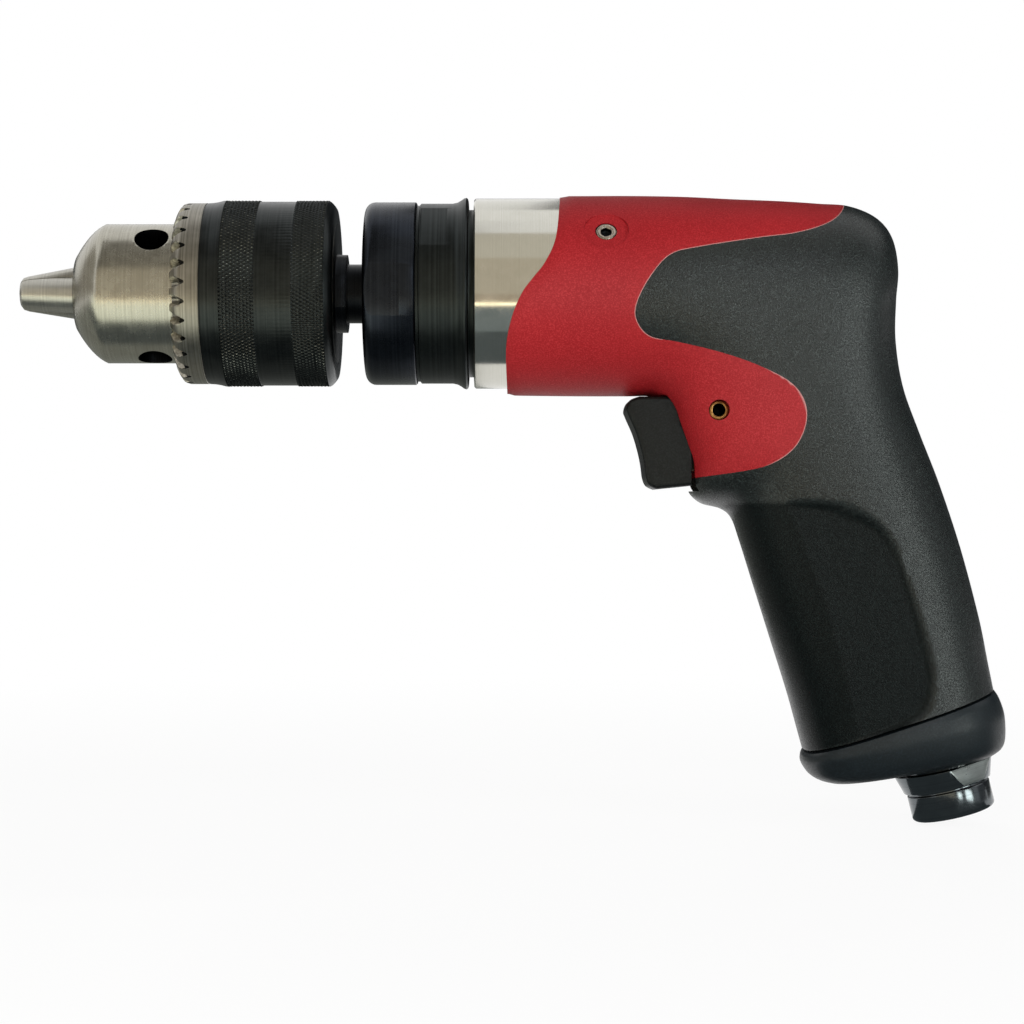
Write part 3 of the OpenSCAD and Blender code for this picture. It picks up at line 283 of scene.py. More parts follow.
# moulded plastic with a spark-eroded grain: tiny pits break up the sheen, colour drifts a little
plasticMake = {
    "ior": 1.5, "driftSize": 18, "pitDepth": 0.25, "fleck": (0.46, 0.7), "noise": (0.3, 0.7),
    "roughSwing": (0.1, -0.08), "seamLine": (0.7, 0.98)}


def grainedPlastic(name, look):
    make = plasticMake
    noiseLow, noiseHigh = make["noise"]
    material, shader, place = startMaterial(name, {
        "IOR": make["ior"], "Roughness": look["roughness"], "Specular IOR Level": look["sheen"]})
    grain = addNode(material, "ShaderNodeTexNoise", {
        "Scale": perMm(look["grain"]), "Detail": 3, "Roughness": 0.6}, {"Vector": place}).outputs["Fac"]
    drift = addNode(material, "ShaderNodeTexNoise", {
        "Scale": perMm(make["driftSize"]), "Detail": 2}, {"Vector": place}).outputs["Fac"]
    fleck = addNode(material, "ShaderNodeMapRange", {
        "From Min": make["fleck"][0], "From Max": make["fleck"][1]}, {"Value": grain}).outputs["Result"]
    tone = addNode(material, "ShaderNodeMix", {
        "data_type": "RGBA", 6: linear(look["dark"]), 7: linear(look["light"])}, {0: fleck}).outputs[2]
    spread = look["spread"]
    shift = addNode(material, "ShaderNodeMapRange", {
        "From Min": noiseLow, "From Max": noiseHigh, "To Min": 1 - spread, "To Max": 1 + spread},
        {"Value": drift}).outputs["Result"]
    colour = addNode(material, "ShaderNodeHueSaturation", {}, {
        "Color": tone, "Value": shift}).outputs["Color"]
    roughLow, roughHigh = [look["roughness"] + swing for swing in make["roughSwing"]]
    rough = addNode(material, "ShaderNodeMapRange", {
        "From Min": noiseLow, "From Max": noiseHigh, "To Min": roughLow, "To Max": roughHigh},
        {"Value": grain}).outputs["Result"]
    if "attribute" in look:  # a second tone where the named vertex values are high
        mask = addNode(material, "ShaderNodeAttribute", {"attribute_name": look["attribute"]}).outputs["Fac"]
        second = addNode(material, "ShaderNodeMix", {
            "data_type": "RGBA", 6: linear(look["secondDark"]), 7: linear(look["secondLight"])},
            {0: fleck}).outputs[2]
        colour = addNode(material, "ShaderNodeMix", {
            "data_type": "RGBA"}, {0: mask, 6: colour, 7: second}).outputs[2]
        sheen = addNode(material, "ShaderNodeMapRange", {
            "To Min": look["sheen"], "To Max": look["secondSheen"]}, {"Value": mask}).outputs["Result"]
        wire(material, shader, {"Specular IOR Level": sheen})
    if "edge" in look:  # pale line where two plastics meet
        line = addNode(material, "ShaderNodeAttribute", {"attribute_name": "seam"}).outputs["Fac"]
        thin = addNode(material, "ShaderNodeMapRange", {
            "From Min": make["seamLine"][0], "From Max": make["seamLine"][1], "To Max": look["edgeStrength"]},
            {"Value": line}).outputs["Result"]
        colour = addNode(material, "ShaderNodeMix", {
            "data_type": "RGBA", 7: linear(look["edge"])}, {0: thin, 6: colour}).outputs[2]
    bump = addNode(material, "ShaderNodeBump", {
        "Strength": look["bump"], "Distance": mm(look["grain"] * make["pitDepth"])},
        {"Height": grain}).outputs["Normal"]
    wire(material, shader, {"Base Color": colour, "Roughness": rough, "Normal": bump})
    return material


# turned metal: the tool leaves fine rings across the axis, handling leaves faint stains and scratches
metalMake = {
    "stainSize": 4, "wearAndGlintSpot": 0.9, "ringDepth": 0.1, "tone": (0.32, 0.68), "wearAndGlintMix": (0.28, 0.62),
    "noise": (0.3, 0.7), "roughSwing": (-0.03, 0.04), "stain": 0.35}


def turnedMetal(name, look):
    make = metalMake
    material, shader, place = startMaterial(name, {"Metallic": 1, "Roughness": look["roughness"]})
    axis = addNode(material, "ShaderNodeVectorRotate", {
        "rotation_type": "Y_AXIS", "Angle": math.radians(look.get("tilt", 0))},
        {"Vector": place}).outputs["Vector"]
    along = addNode(material, "ShaderNodeSeparateXYZ", {}, {"Vector": axis}).outputs["X"]
    rings = addNode(material, "ShaderNodeTexNoise", {
        "noise_dimensions": "1D", "Scale": perMm(look["rings"]), "Detail": 2}, {"W": along}).outputs["Fac"]
    stains = addNode(material, "ShaderNodeTexNoise", {
        "Scale": perMm(make["stainSize"]), "Detail": 5, "Roughness": 0.65}, {"Vector": place}).outputs["Fac"]
    mixed = addNode(material, "ShaderNodeMix", {
        0: look.get("stain", make["stain"])}, {2: rings, 3: stains}).outputs[0]
    tone = addNode(material, "ShaderNodeMapRange", {
        "From Min": make["tone"][0], "From Max": make["tone"][1]}, {"Value": mixed}).outputs["Result"]
    colour = addNode(material, "ShaderNodeMix", {
        "data_type": "RGBA", 6: linear(look["dark"]), 7: linear(look["light"])}, {0: tone}).outputs[2]
    if "wearAndGlint" in look:  # bare metal rubbed on the knurl's peaks, and a painted highlight along the tooth edges
        peak = addNode(material, "ShaderNodeAttribute", {"attribute_name": "wearAndGlint"}).outputs["Fac"]
        chance = addNode(material, "ShaderNodeTexNoise", {
            "Scale": perMm(make["wearAndGlintSpot"]), "Detail": 2}, {"Vector": place}).outputs["Fac"]
        wearAndGlintAmount = addNode(material, "ShaderNodeMath", {"operation": "MULTIPLY"}, {
            0: peak, 1: chance}).outputs["Value"]
        wearAndGlintMix = addNode(material, "ShaderNodeMapRange", {
            "From Min": make["wearAndGlintMix"][0], "From Max": make["wearAndGlintMix"][1]}, {"Value": wearAndGlintAmount}).outputs["Result"]
        colour = addNode(material, "ShaderNodeMix", {
            "data_type": "RGBA", 7: linear(look["wearAndGlint"])}, {0: wearAndGlintMix, 6: colour}).outputs[2]
    roughLow, roughHigh = [look["roughness"] + swing for swing in make["roughSwing"]]
    rough = addNode(material, "ShaderNodeMapRange", {
        "From Min": make["noise"][0], "From Max": make["noise"][1], "To Min": roughLow, "To Max": roughHigh},
        {"Value": stains}).outputs["Result"]
    bump = addNode(material, "ShaderNodeBump", {
        "Strength": look["bump"], "Distance": mm(look["rings"] * make["ringDepth"])},
        {"Height": rings}).outputs["Normal"]
    wire(material, shader, {"Base Color": colour, "Roughness": rough, "Normal": bump})
    return material


# felt: short matted fibres, no gloss
def pressedFelt(name, look):
    material, shader, place = startMaterial(name, {
        "Roughness": look["roughness"], "Sheen Weight": look["fuzz"]})
    fibre = addNode(material, "ShaderNodeTexNoise", {
        "Scale": perMm(look["fibre"]), "Detail": 4, "Distortion": 1.5}, {"Vector": place}).outputs["Fac"]
    colour = addNode(material, "ShaderNodeMix", {
        "data_type": "RGBA", 6: linear(look["dark"]), 7: linear(look["light"])}, {0: fibre}).outputs[2]
    bump = addNode(material, "ShaderNodeBump", {
        "Strength": 0.6, "Distance": mm(look["depth"])}, {"Height": fibre}).outputs["Normal"]
    wire(material, shader, {"Base Color": colour, "Normal": bump})
    return material


# real grain is about 0.1 mm and real tool rings less, too fine to show, so both are drawn a few times coarser
# filled nylon, moulded: strong red with paler flecks, a low soft sheen, a pale line along the grip's edge
redNylon = grainedPlastic("redMouldedNylon", {
    "dark": "#89151a", "light": "#a7282c", "roughness": 0.5, "grain": 0.3, "spread": 0.05, "bump": 0.4,
    "sheen": 0.17, "edge": "#c9a9a4", "edgeStrength": 0.55})
# elastomer, moulded over the nylon: black with grey grain and broken highlights, duller on the pressed panel
blackGrip = grainedPlastic("blackGrainedElastomer", {
    "dark": "#080b0a", "light": "#2f3634", "roughness": 0.3, "grain": 0.3, "spread": 0.08, "bump": 0.9,
    "sheen": 0.5, "attribute": "panel", "secondDark": "#060909", "secondLight": "#171e1d",
    "secondSheen": 0.13})
# nylon, moulded nearly smooth: satin black with a cold tint and soft highlights
blackCap = grainedPlastic("satinBlackNylon", {
    "dark": "#11171a", "light": "#1c2428", "roughness": 0.38, "grain": 0.4, "spread": 0.06, "bump": 0.12,
    "sheen": 0.4})
# acetal, moulded nearly smooth: satin black, a little duller
blackTrigger = grainedPlastic("satinBlackAcetal", {
    "dark": "#0a0c0b", "light": "#151817", "roughness": 0.42, "grain": 0.4, "spread": 0.06, "bump": 0.15,
    "sheen": 0.25})
# nitrile rubber, moulded: dull black
sealRubber = grainedPlastic("nitrileRubber", {
    "dark": "#141414", "light": "#1f1f1f", "roughness": 0.7, "grain": 0.3, "spread": 0.05, "bump": 0.2,
    "sheen": 0.4})
# phenolic laminate, sawn: brown and matt
vaneResin = grainedPlastic("phenolicLaminate", {
    "dark": "#4a3826", "light": "#66503a", "roughness": 0.6, "grain": 0.5, "spread": 0.1, "bump": 0.2,
    "sheen": 0.4})
# steel, turned: warm bright grey, the rings draw its highlights out along the axis
chuckSteel = turnedMetal("turnedChuckSteel", {
    "dark": "#a29e92", "light": "#bdbaae", "roughness": 0.26, "rings": 0.5, "bump": 0.08, "stain": 0.5})
# steel, ground: a softer grey with streaks
jawSteel = turnedMetal("groundJawSteel", {
    "dark": "#a7a49c", "light": "#c1bfb6", "roughness": 0.33, "rings": 0.4, "bump": 0.12, "stain": 0.5})
# steel, knurled and blackened: near black, bare glints where hands rub the points
sleeveSteel = turnedMetal("blackenedSleeveSteel", {
    "dark": "#2a2d2d", "light": "#3b3e3e", "roughness": 0.32, "rings": 0.5, "bump": 0.06, "wearAndGlint": "#c4c7c1",
    "stain": 0.5})
# bare steel, milled: brownish grey, with a painted highlight along the edges of the teeth
toothSteel = turnedMetal("bareToothSteel", {
    "dark": "#77736a", "light": "#a09c92", "roughness": 0.36, "rings": 0.5, "bump": 0.1, "wearAndGlint": "#dedacf"})
# steel, turned and blackened: near black with a blue tint and narrow highlights
nutSteel = turnedMetal("blackenedNutSteel", {
    "dark": "#24272d", "light": "#33373e", "roughness": 0.28, "rings": 0.6, "bump": 0.06})
# aluminium, turned and anodised black: near black, broader highlights than the nut
caseAlloy = turnedMetal("blackAnodisedCase", {
    "dark": "#282b2b", "light": "#373b3b", "roughness": 0.36, "rings": 0.6, "bump": 0.08})
# steel, turned and oiled: very dark, also used as painted shade inside holes, screw sockets and tooth gaps
oiledSteelAndShade = turnedMetal("oiledSteelAndPaintedShade", {
    "dark": "#151618", "light": "#232528", "roughness": 0.35, "rings": 0.4, "bump": 0.15})
# aluminium, turned bright: mirrors its surroundings in bands along the axis
barrelAlloy = turnedMetal("turnedBarrelAlloy", {
    "dark": "#cbc9bf", "light": "#d6d4cb", "roughness": 0.13, "rings": 0.25, "bump": 0.04, "stain": 0.6})
# steel, hobbed: satin mid grey
gearSteel = turnedMetal("hobbedGearSteel", {
    "dark": "#77797b", "light": "#9a9c9e", "roughness": 0.35, "rings": 0.4, "bump": 0.1})
# steel, polished: bright and clear
bearingSteel = turnedMetal("polishedBearingSteel", {
    "dark": "#a8aaac", "light": "#c6c8ca", "roughness": 0.15, "rings": 0.4, "bump": 0.03})
# cast iron, ground: dull brownish grey
motorIron = turnedMetal("groundMotorIron", {
    "dark": "#66635e", "light": "#85827b", "roughness": 0.42, "rings": 0.4, "bump": 0.12})
# steel, zinc plated: warm pale grey with clear highlights
screwSteel = turnedMetal("platedScrewSteel", {
    "dark": "#8f8478", "light": "#bdb2a5", "roughness": 0.25, "rings": 0.5, "bump": 0.05})
# brass, turned: brownish yellow
valveBrass = turnedMetal("turnedBrass", {
    "dark": "#94683a", "light": "#bd8d56", "roughness": 0.3, "rings": 0.4, "bump": 0.1})
# steel, plated dark: mirrors light and dark bands almost without marks
inletSteel = turnedMetal("darkPlatedInletSteel", {
    "dark": "#64686b", "light": "#777c7e", "roughness": 0.16, "rings": 0.4, "bump": 0.02, "tilt": 104,
    "stain": 0.5})
# the same steel, milled: paler and duller
flatSteel = turnedMetal("milledInletFlat", {
    "dark": "#a5a9a6", "light": "#bcc0bd", "roughness": 0.3, "rings": 0.3, "bump": 0.05, "tilt": 104})
# wool felt, pressed: pale and matt
silencerFelt = pressedFelt("pressedFelt", {
    "dark": "#8d8674", "light": "#b5ad98", "roughness": 0.95, "fuzz": 0.3, "fibre": 0.6, "depth": 0.2})
print("materials made")

# chuck body: domed nose, three key holes, three inclined jaw holes, boss with two spanner flats behind
chuckShape = {
    "nose": (13.2, 8.8), "noseEnd": (20.0, 16.05), "domeBulge": 0.6, "closeRings": (21, 41), "rear": 73.1,
    "bossRadius": 9.0, "bossEnd": 75.5, "bossFlatAt": 8.2, "bossFlatTurn": 90, "rearSkin": 0.3,
    "bore": 6.7, "rearBore": 6.4, "rearBoreFrom": 46,
    "keyHoleX": 31.6, "keyHole": 3.9, "keyHoleFloor": 9.65, "turn": 43, "edge": 0.18, "holeSkin": 0.5,
    "jawHole": 4.3, "jawHoleRun": (-8, 69.5), "jawCross": 3.2, "jawAngle": 12}


def jawTurn(number):  # the jaws stand midway between the key holes
    return chuckShape["turn"] + 60 + 120 * number


def jawPoint(number, along):  # place on a jaw's slanted axis
    lean = math.radians(chuckShape["jawAngle"])
    return spoke(jawTurn(number), along * math.sin(lean), chuckShape["jawCross"] + along * math.cos(lean))


def makeChuckBody(look):
    (noseX, noseR), (endX, endR) = look["nose"], look["noseEnd"]
    rear, bossEnd, bossR, keyX = look["rear"], look["bossEnd"], look["bossRadius"], look["keyHoleX"]
    profile = [(noseX, look["bore"])]
    for f in shares(8):
        bulge = f + look["domeBulge"] * f * (1 - f)
        profile.append((noseX + (endX - noseX) * f, noseR + (endR - noseR) * bulge))
    profile += [(x, endR) for x in range(*look["closeRings"])]  # keeps the shading clean around the key holes
    profile += [(rear, endR), (rear, bossR), (bossEnd, bossR), (bossEnd, look["rearBore"])]
    profile += [(look["rearBoreFrom"], look["rearBore"]), (look["rearBoreFrom"], look["bore"])]
    body = turnPiece("chuckBody", profile)
    jawStart, jawEnd = look["jawHoleRun"]
    for i in range(3):
        turn = look["turn"] + 120 * i
        drillHole(body, spoke(turn, look["keyHoleFloor"], keyX), spoke(turn, farOut, keyX), look["keyHole"])
        drillHole(body, jawPoint(i, jawStart), jawPoint(i, jawEnd), look["jawHole"])
    flatStart = rear + 0.01  # just off the rear face
    millFlats(body, look["bossFlatTurn"], look["bossFlatAt"], flatStart, bossEnd + 1)
    breakEdges(body, look["edge"])
    shade(body)
    finishPiece(body, "spindle", "chuck_steel", chuckSteel, "chuck_body")
    body.data.materials.append(oiledSteelAndShade)  # blackened behind, and painted shade inside the holes
    for face in body.data.polygons:
        x, y, z = face.center * 1000
        inHole = x > endX and math.hypot(y, z) < endR - look["holeSkin"]
        face.material_index = int(inHole or x > rear - look["rearSkin"])


makeChuckBody(chuckShape)

# jaws: round bars at an angle, each ground to two flat faces that meet near the axis
jawShape = {
    "radius": 4.25, "start": -9, "end": 41.2, "flatTurn": 150, "gap": 0.1, "edge": 0.2, "sides": 96,
    "tip": [(0, 0.75), (0, 2.9), (0.6, 3.7), (2, 4.15), (3.2, 4.5), (40, 41), (60, 41), (60, 0.75)]}


def makeJaw(number, look):
    start, end = jawPoint(number, look["start"]), jawPoint(number, look["end"])
    jaw = rodPiece("chuckJaw%d" % (number + 1), start, end, look["radius"], look["sides"])
    for side in (-1, 1):
        normal = Vector(spoke(jawTurn(number) + side * look["flatTurn"], 1, 0))
        place = -normal * mm(look["gap"])
        openMesh(jaw)
        bpy.ops.mesh.bisect(plane_co=place, plane_no=normal, use_fill=True, clear_outer=True)
        bpy.ops.object.mode_set(mode="OBJECT")
    carve(jaw, turnPiece("jawTip", look["tip"], look["sides"]), "INTERSECT")
    breakEdges(jaw, look["edge"])
    shade(jaw)
    finishPiece(jaw, "jaw_%d" % (number + 1), "jaw_steel", jawSteel, "chuck_jaw_%d" % (number + 1))


for number in range(3):
    makeJaw(number, jawShape)
print("chuck body and jaws made")

# sleeve: bare toothed ring in front, blackened behind it, two bands of diamond knurl
sleeveShape = {
    "steps": 600, "face": [(36.9, 16.15), (36.4, 17)], "faceEnd": (37.6, 20), "faceCurve": 1.6,
    "rounding": [(37.9, 20.35), (38.3, 20.6), (38.8, 20.75)],
    "ring": (39.2, 43.3), "ringStep": 0.28, "ringRadius": 20.85,
    "groove": [(43.4, 20.72), (43.55, 20.72), (43.7, 20.85)],
    "shoulder": [(44.9, 20.92), (46.0, 21.1), (47.1, 21.38), (47.88, 21.48)],
    "knurls": [(47.9, 55.7), (64.1, 71.3)], "knurlRadius": 21.5, "bandRadius": 21.2, "bandEdge": 0.05,
    "rearEdge": [(71.35, 21.44), (71.9, 21.1), (72.3, 20.7), (72.8, 20.1), (73.1, 19.6)],
    "inside": [(73.1, 16.15), (71.2, 16.15), (71.2, 19), (45, 19), (45, 18.4), (40.4, 18.4), (40.4, 16.15)],
    "outside": 16.5, "bareTo": 43.4, "smoothUpTo": 32,
    "teeth": 30, "toothTurn": 3.5, "toothRoot": 40.2, "toothHeight": 2.9, "toothLand": 0.26,
    # painted highlight along the tooth edges: how far it reaches back, and how faint it is on the lands and
    # in the gaps
    "toothFlank": 0.62, "toothLean": 0.42, "glintReach": 0.5, "landGlint": 0.2, "gapGlint": 0.4,
    # painted shade in the tooth gaps: its reach along the axis from the tooth root, and how far out a shaded
    # face may turn
    "gapShade": (-1.3, 0.1), "gapShadeFacing": 0.6,
    "knurlCount": 150, "knurlRow": 1.56, "knurlDepth": 0.36}


def ringRows(span, step, radius):  # close rings from one place to another
    low, high = span
    count = max(1, round((high - low) / step))
    return [(low + (high - low) * f, radius) for f in shares(count)]


def cutTooth(x, radius, turn, look):  # new place along the axis, and how pale the point is painted: a painted highlight along the tooth edges
    pitch = 360 / look["teeth"]
    off = abs((turn - look["toothTurn"]) / pitch % 1 - 0.5) * 2  # 0 at a tooth's tip, 1 in a gap
    depth = min(1, max(0, (off - look["toothLand"]) / look["toothFlank"]))
    root = look["toothRoot"] - look["toothLean"] * (look["ringRadius"] - radius)
    floor = root - (1 - depth) * look["toothHeight"]
    wearAndGlintAmount = 1
    if floor <= x:
        wearAndGlintAmount = max(0, 1 - (x - floor) / look["glintReach"]) * (1 if depth > 0.02 else look["landGlint"])
    return max(x, floor), wearAndGlintAmount * (1 - depth * (1 - look["gapGlint"]))


def knurlHeight(turn, x, look):  # 1 on the points of the diamonds, 0 in the grooves
    u = turn / 360 * look["knurlCount"]
    v = x / look["knurlRow"]
    return min(abs(2 * (w % 1) - 1) for w in (u + v, u - v))


def makeSleeve(look):
    (startX, startR), (endX, endR) = look["face"][-1], look["faceEnd"]
    first, last = look["knurls"]
    rowStep = look["knurlRow"] / 4
    profile = list(look["face"])
    for f in shares(6)[1:]:
        profile.append((startX + (endX - startX) * f ** look["faceCurve"], startR + (endR - startR) * f))
    profile += look["rounding"] + ringRows(look["ring"], look["ringStep"], look["ringRadius"])
    profile += look["groove"] + look["shoulder"] + ringRows(first, rowStep, look["knurlRadius"])
    profile += [(x, look["bandRadius"]) for x in (first[1] + look["bandEdge"], last[0] - look["bandEdge"])]
    profile += ringRows(last, rowStep, look["knurlRadius"]) + look["rearEdge"] + look["inside"]
    sleeve = turnPiece("chuckSleeve", profile, look["steps"])
    wearAndGlint = []
    for vertex in sleeve.data.vertices:
        x, y, z = vertex.co * 1000
        radius = math.hypot(y, z)
        turn = math.degrees(math.atan2(-y, z))
        wearAndGlintAmount = 0
        if x < look["toothRoot"] and radius > look["outside"]:
            x, wearAndGlintAmount = cutTooth(x, radius, turn, look)
        for low, high in look["knurls"]:
            if low - mergeReach <= x <= high + mergeReach and radius > look["bandRadius"] + 0.1:
                height = knurlHeight(turn, x, look)
                radius = look["knurlRadius"] - look["knurlDepth"] * (1 - height)
                wearAndGlintAmount = height ** 2
        vertex.co = mm(*spoke(turn, radius, x))
        wearAndGlint.append(wearAndGlintAmount)
    pointValues(sleeve, "wearAndGlint", wearAndGlint)
    openMesh(sleeve)
    bpy.ops.mesh.dissolve_degenerate(threshold=mm(2 * mergeReach))
    closeMesh()
    shade(sleeve, look["smoothUpTo"])
    finishPiece(sleeve, "sleeve", "sleeve_black", sleeveSteel, "chuck_sleeve")
    sleeve.data.materials.append(toothSteel)
    sleeve.data.materials.append(oiledSteelAndShade)  # painted shade in the gaps at the roots of the teeth
    gapShadeLow, gapShadeHigh = [mm(look["toothRoot"] + reach) for reach in look["gapShade"]]
    for face in sleeve.data.polygons:
        x, y, z = face.center
        radius = math.hypot(y, z)
        if x < mm(look["bareTo"]) and radius > mm(look["outside"]):
            outward = (face.normal.y * y + face.normal.z * z) / radius
            inGapShade = gapShadeLow < x < gapShadeHigh and outward < look["gapShadeFacing"]
            face.material_index = 2 if inGapShade else 1


makeSleeve(sleeveShape)
print("sleeve made")

# clamp nut and gear case: blackened turnings with spanner flats
nutShape = {
    "front": 79.8, "rear": 91.6, "radius": 21.05, "round": 2.3, "rearEdge": 0.25, "bore": 7.3, "socket": 18.3,
    "socketFrom": 84, "flatTurn": 92, "flatAt": 20.25, "flatEnd": 88.2, "edge": 0.2}
caseShape = {
    "spigot": [(84.1, 16.05), (84.1, 18.2), (91.7, 18.2), (91.7, 20.3), (92.4, 20.3), (92.41, 20.5)],
    "lip": [(92.65, 20.75), (99.9, 20.75), (101.0, 21.0), (101.8, 21.45), (102.5, 21.95), (103.0, 22.1),
            (103.35, 21.85), (103.5, 21.3)],
    "tail": [(103.55, 20.2), (103.6, 19.3), (104.8, 19.3), (104.8, 18.95), (109, 18.95), (109, 16.05)],
    "flatTurn": 44.2, "flatAt": 19.65, "flat": (92.75, 98.8), "edge": 0.1}


def makeNut(look):
    front, rear, radius, bend = look["front"], look["rear"], look["radius"], look["round"]
    profile = [(front, look["bore"])]
    for f in shares(8):
        angle = math.pi / 2 * f
        profile.append((front + bend * (1 - math.cos(angle)), radius - bend * (1 - math.sin(angle))))
    profile += [(rear - look["rearEdge"], radius), (rear, radius - look["rearEdge"]), (rear, look["socket"])]
    profile += [(look["socketFrom"], look["socket"]), (look["socketFrom"], look["bore"])]
    nut = turnPiece("clampNut", profile)
    millFlats(nut, look["flatTurn"], look["flatAt"], front - 1, look["flatEnd"])
    breakEdges(nut, look["edge"])
    shade(nut)
    finishPiece(nut, "drill", "nut_black", nutSteel, "clamp_nut")


def makeCase(look):
    case = turnPiece("gearCase", look["spigot"] + look["lip"] + look["tail"])
    millFlats(case, look["flatTurn"], look["flatAt"], *look["flat"])
    breakEdges(case, look["edge"])
    shade(case)
    finishPiece(case, "drill", "case_black", caseAlloy, "gear_case")


makeNut(nutShape)
makeCase(caseShape)

# lock screws: plated socket heads in round flats on both sides, through the housing into the barrel
screwShape = {
    "x": 134.6, "turn": 56, "head": 2.3, "seat": 20.2, "top": 22.1, "edge": 0.35, "edgeFrom": 30,
    "edgeSteps": 3, "socket": 1.35, "socketSides": 6, "socketDepth": 1.4, "socketSkin": 0.3, "shank": 1.5,
    "shankEnd": 18.7}


def screwPoint(side, height):  # place on a lock screw's axis
    return spoke(side * screwShape["turn"], height, screwShape["x"])


def makeScrews(look):
    parts = []
    heights = (look["shankEnd"], look["seat"], look["top"] - look["socketDepth"], look["top"], farOut)
    for side in (-1, 1):
        end, seat, floor, top, outer = [screwPoint(side, height) for height in heights]
        screw = rodPiece("lockScrewHead", seat, top, look["head"])
        drillHole(screw, floor, outer, look["socket"], look["socketSides"])
        shank = rodPiece("lockScrewShank", end, seat, look["shank"])
        breakEdges(screw, look["edge"], look["edgeFrom"], look["edgeSteps"])
        parts.append(joinPieces(shank, screw))
    screws = joinPieces(*parts)
    screws.name = "lockScrews"
    shade(screws)
    finishPiece(screws, "drill", "screw_steel", screwSteel, "lock_screws")
    screws.data.materials.append(oiledSteelAndShade)  # shadowed socket
    for face in screws.data.polygons:
        side = math.copysign(1, -face.center.y)
        place = face.center * 1000
        height = place.dot(Vector(screwPoint(side, 1)) - Vector((look["x"], 0, 0)))
        fromAxis = (place - Vector(screwPoint(side, height))).length
        face.material_index = int(fromAxis < look["socket"] and height < look["top"] - look["socketSkin"])


# barrel: bright turned tube, its rear half inside the housing, with seats for the lock screws
barrelShape = {
    "front": 104.8, "radius": 21.9, "edge": 0.4, "step": 144.7, "rearRadius": 19.35, "rear": 172.4,
    "frontBore": 19, "frontBoreEnd": 123, "bore": 17.65, "boreEnd": 170.2, "rearBore": 13.1,
    "screwSeat": 20.15, "screwHead": 2.45, "screwShank": 1.6}


def makeBarrel(look):
    front, step, rear, radius, edge = [look[key] for key in ("front", "step", "rear", "radius", "edge")]
    profile = [(front, look["frontBore"]), (front, radius - edge), (front + edge, radius), (step, radius)]
    profile += [(step, look["rearRadius"]), (rear, look["rearRadius"]), (rear, look["rearBore"])]
    profile += [(look["boreEnd"], look["rearBore"]), (look["boreEnd"], look["bore"])]
    profile += [(look["frontBoreEnd"], look["bore"]), (look["frontBoreEnd"], look["frontBore"])]
    barrel = turnPiece("motorBarrel", profile)
    for side in (-1, 1):
        seat = look["screwSeat"]
        drillHole(barrel, screwPoint(side, seat), screwPoint(side, farOut), look["screwHead"])
        drillHole(barrel, screwPoint(side, look["bore"] - 2), screwPoint(side, seat + 1), look["screwShank"])
    shade(barrel)
    finishPiece(barrel, "drill", "barrel_aluminium", barrelAlloy, "barrel")


makeBarrel(barrelShape)
print("front end and barrel made")

# cross pin: brass pin through the housing, drilled from both ends
pinShape = {
    "x": 160, "z": -27.6, "outer": 2.2, "inner": 1.4, "half": 17.0, "bore": 12, "boreSkin": 0.05,
    "edge": 0.25}


def makePin(look):
    half, outer, inner = look["half"], look["outer"], look["inner"]
    pin = rodPiece("crossPin", (-half, 0, 0), (half, 0, 0), outer)
    for side in (-1, 1):
        drillHole(pin, (side * (half - look["bore"]), 0, 0), (side * (half + 1), 0, 0), inner)
    breakEdges(pin, look["edge"])
    pin.rotation_euler = (0, 0, math.radians(90))
    pin.location = mm(look["x"], 0, look["z"])
    settle(pin)
    shade(pin)
    finishPiece(pin, "drill", "valve_brass", valveBrass, "cross_pin")
    pin.data.materials.append(oiledSteelAndShade)  # painted shade inside the bore
    for face in pin.data.polygons:
        x, y, z = face.center * 1000
        fromAxis = math.hypot(x - look["x"], z - look["z"])
        inBore = fromAxis < inner + look["boreSkin"]
        face.material_index = int(inBore and abs(y) < half - 2 * look["boreSkin"])


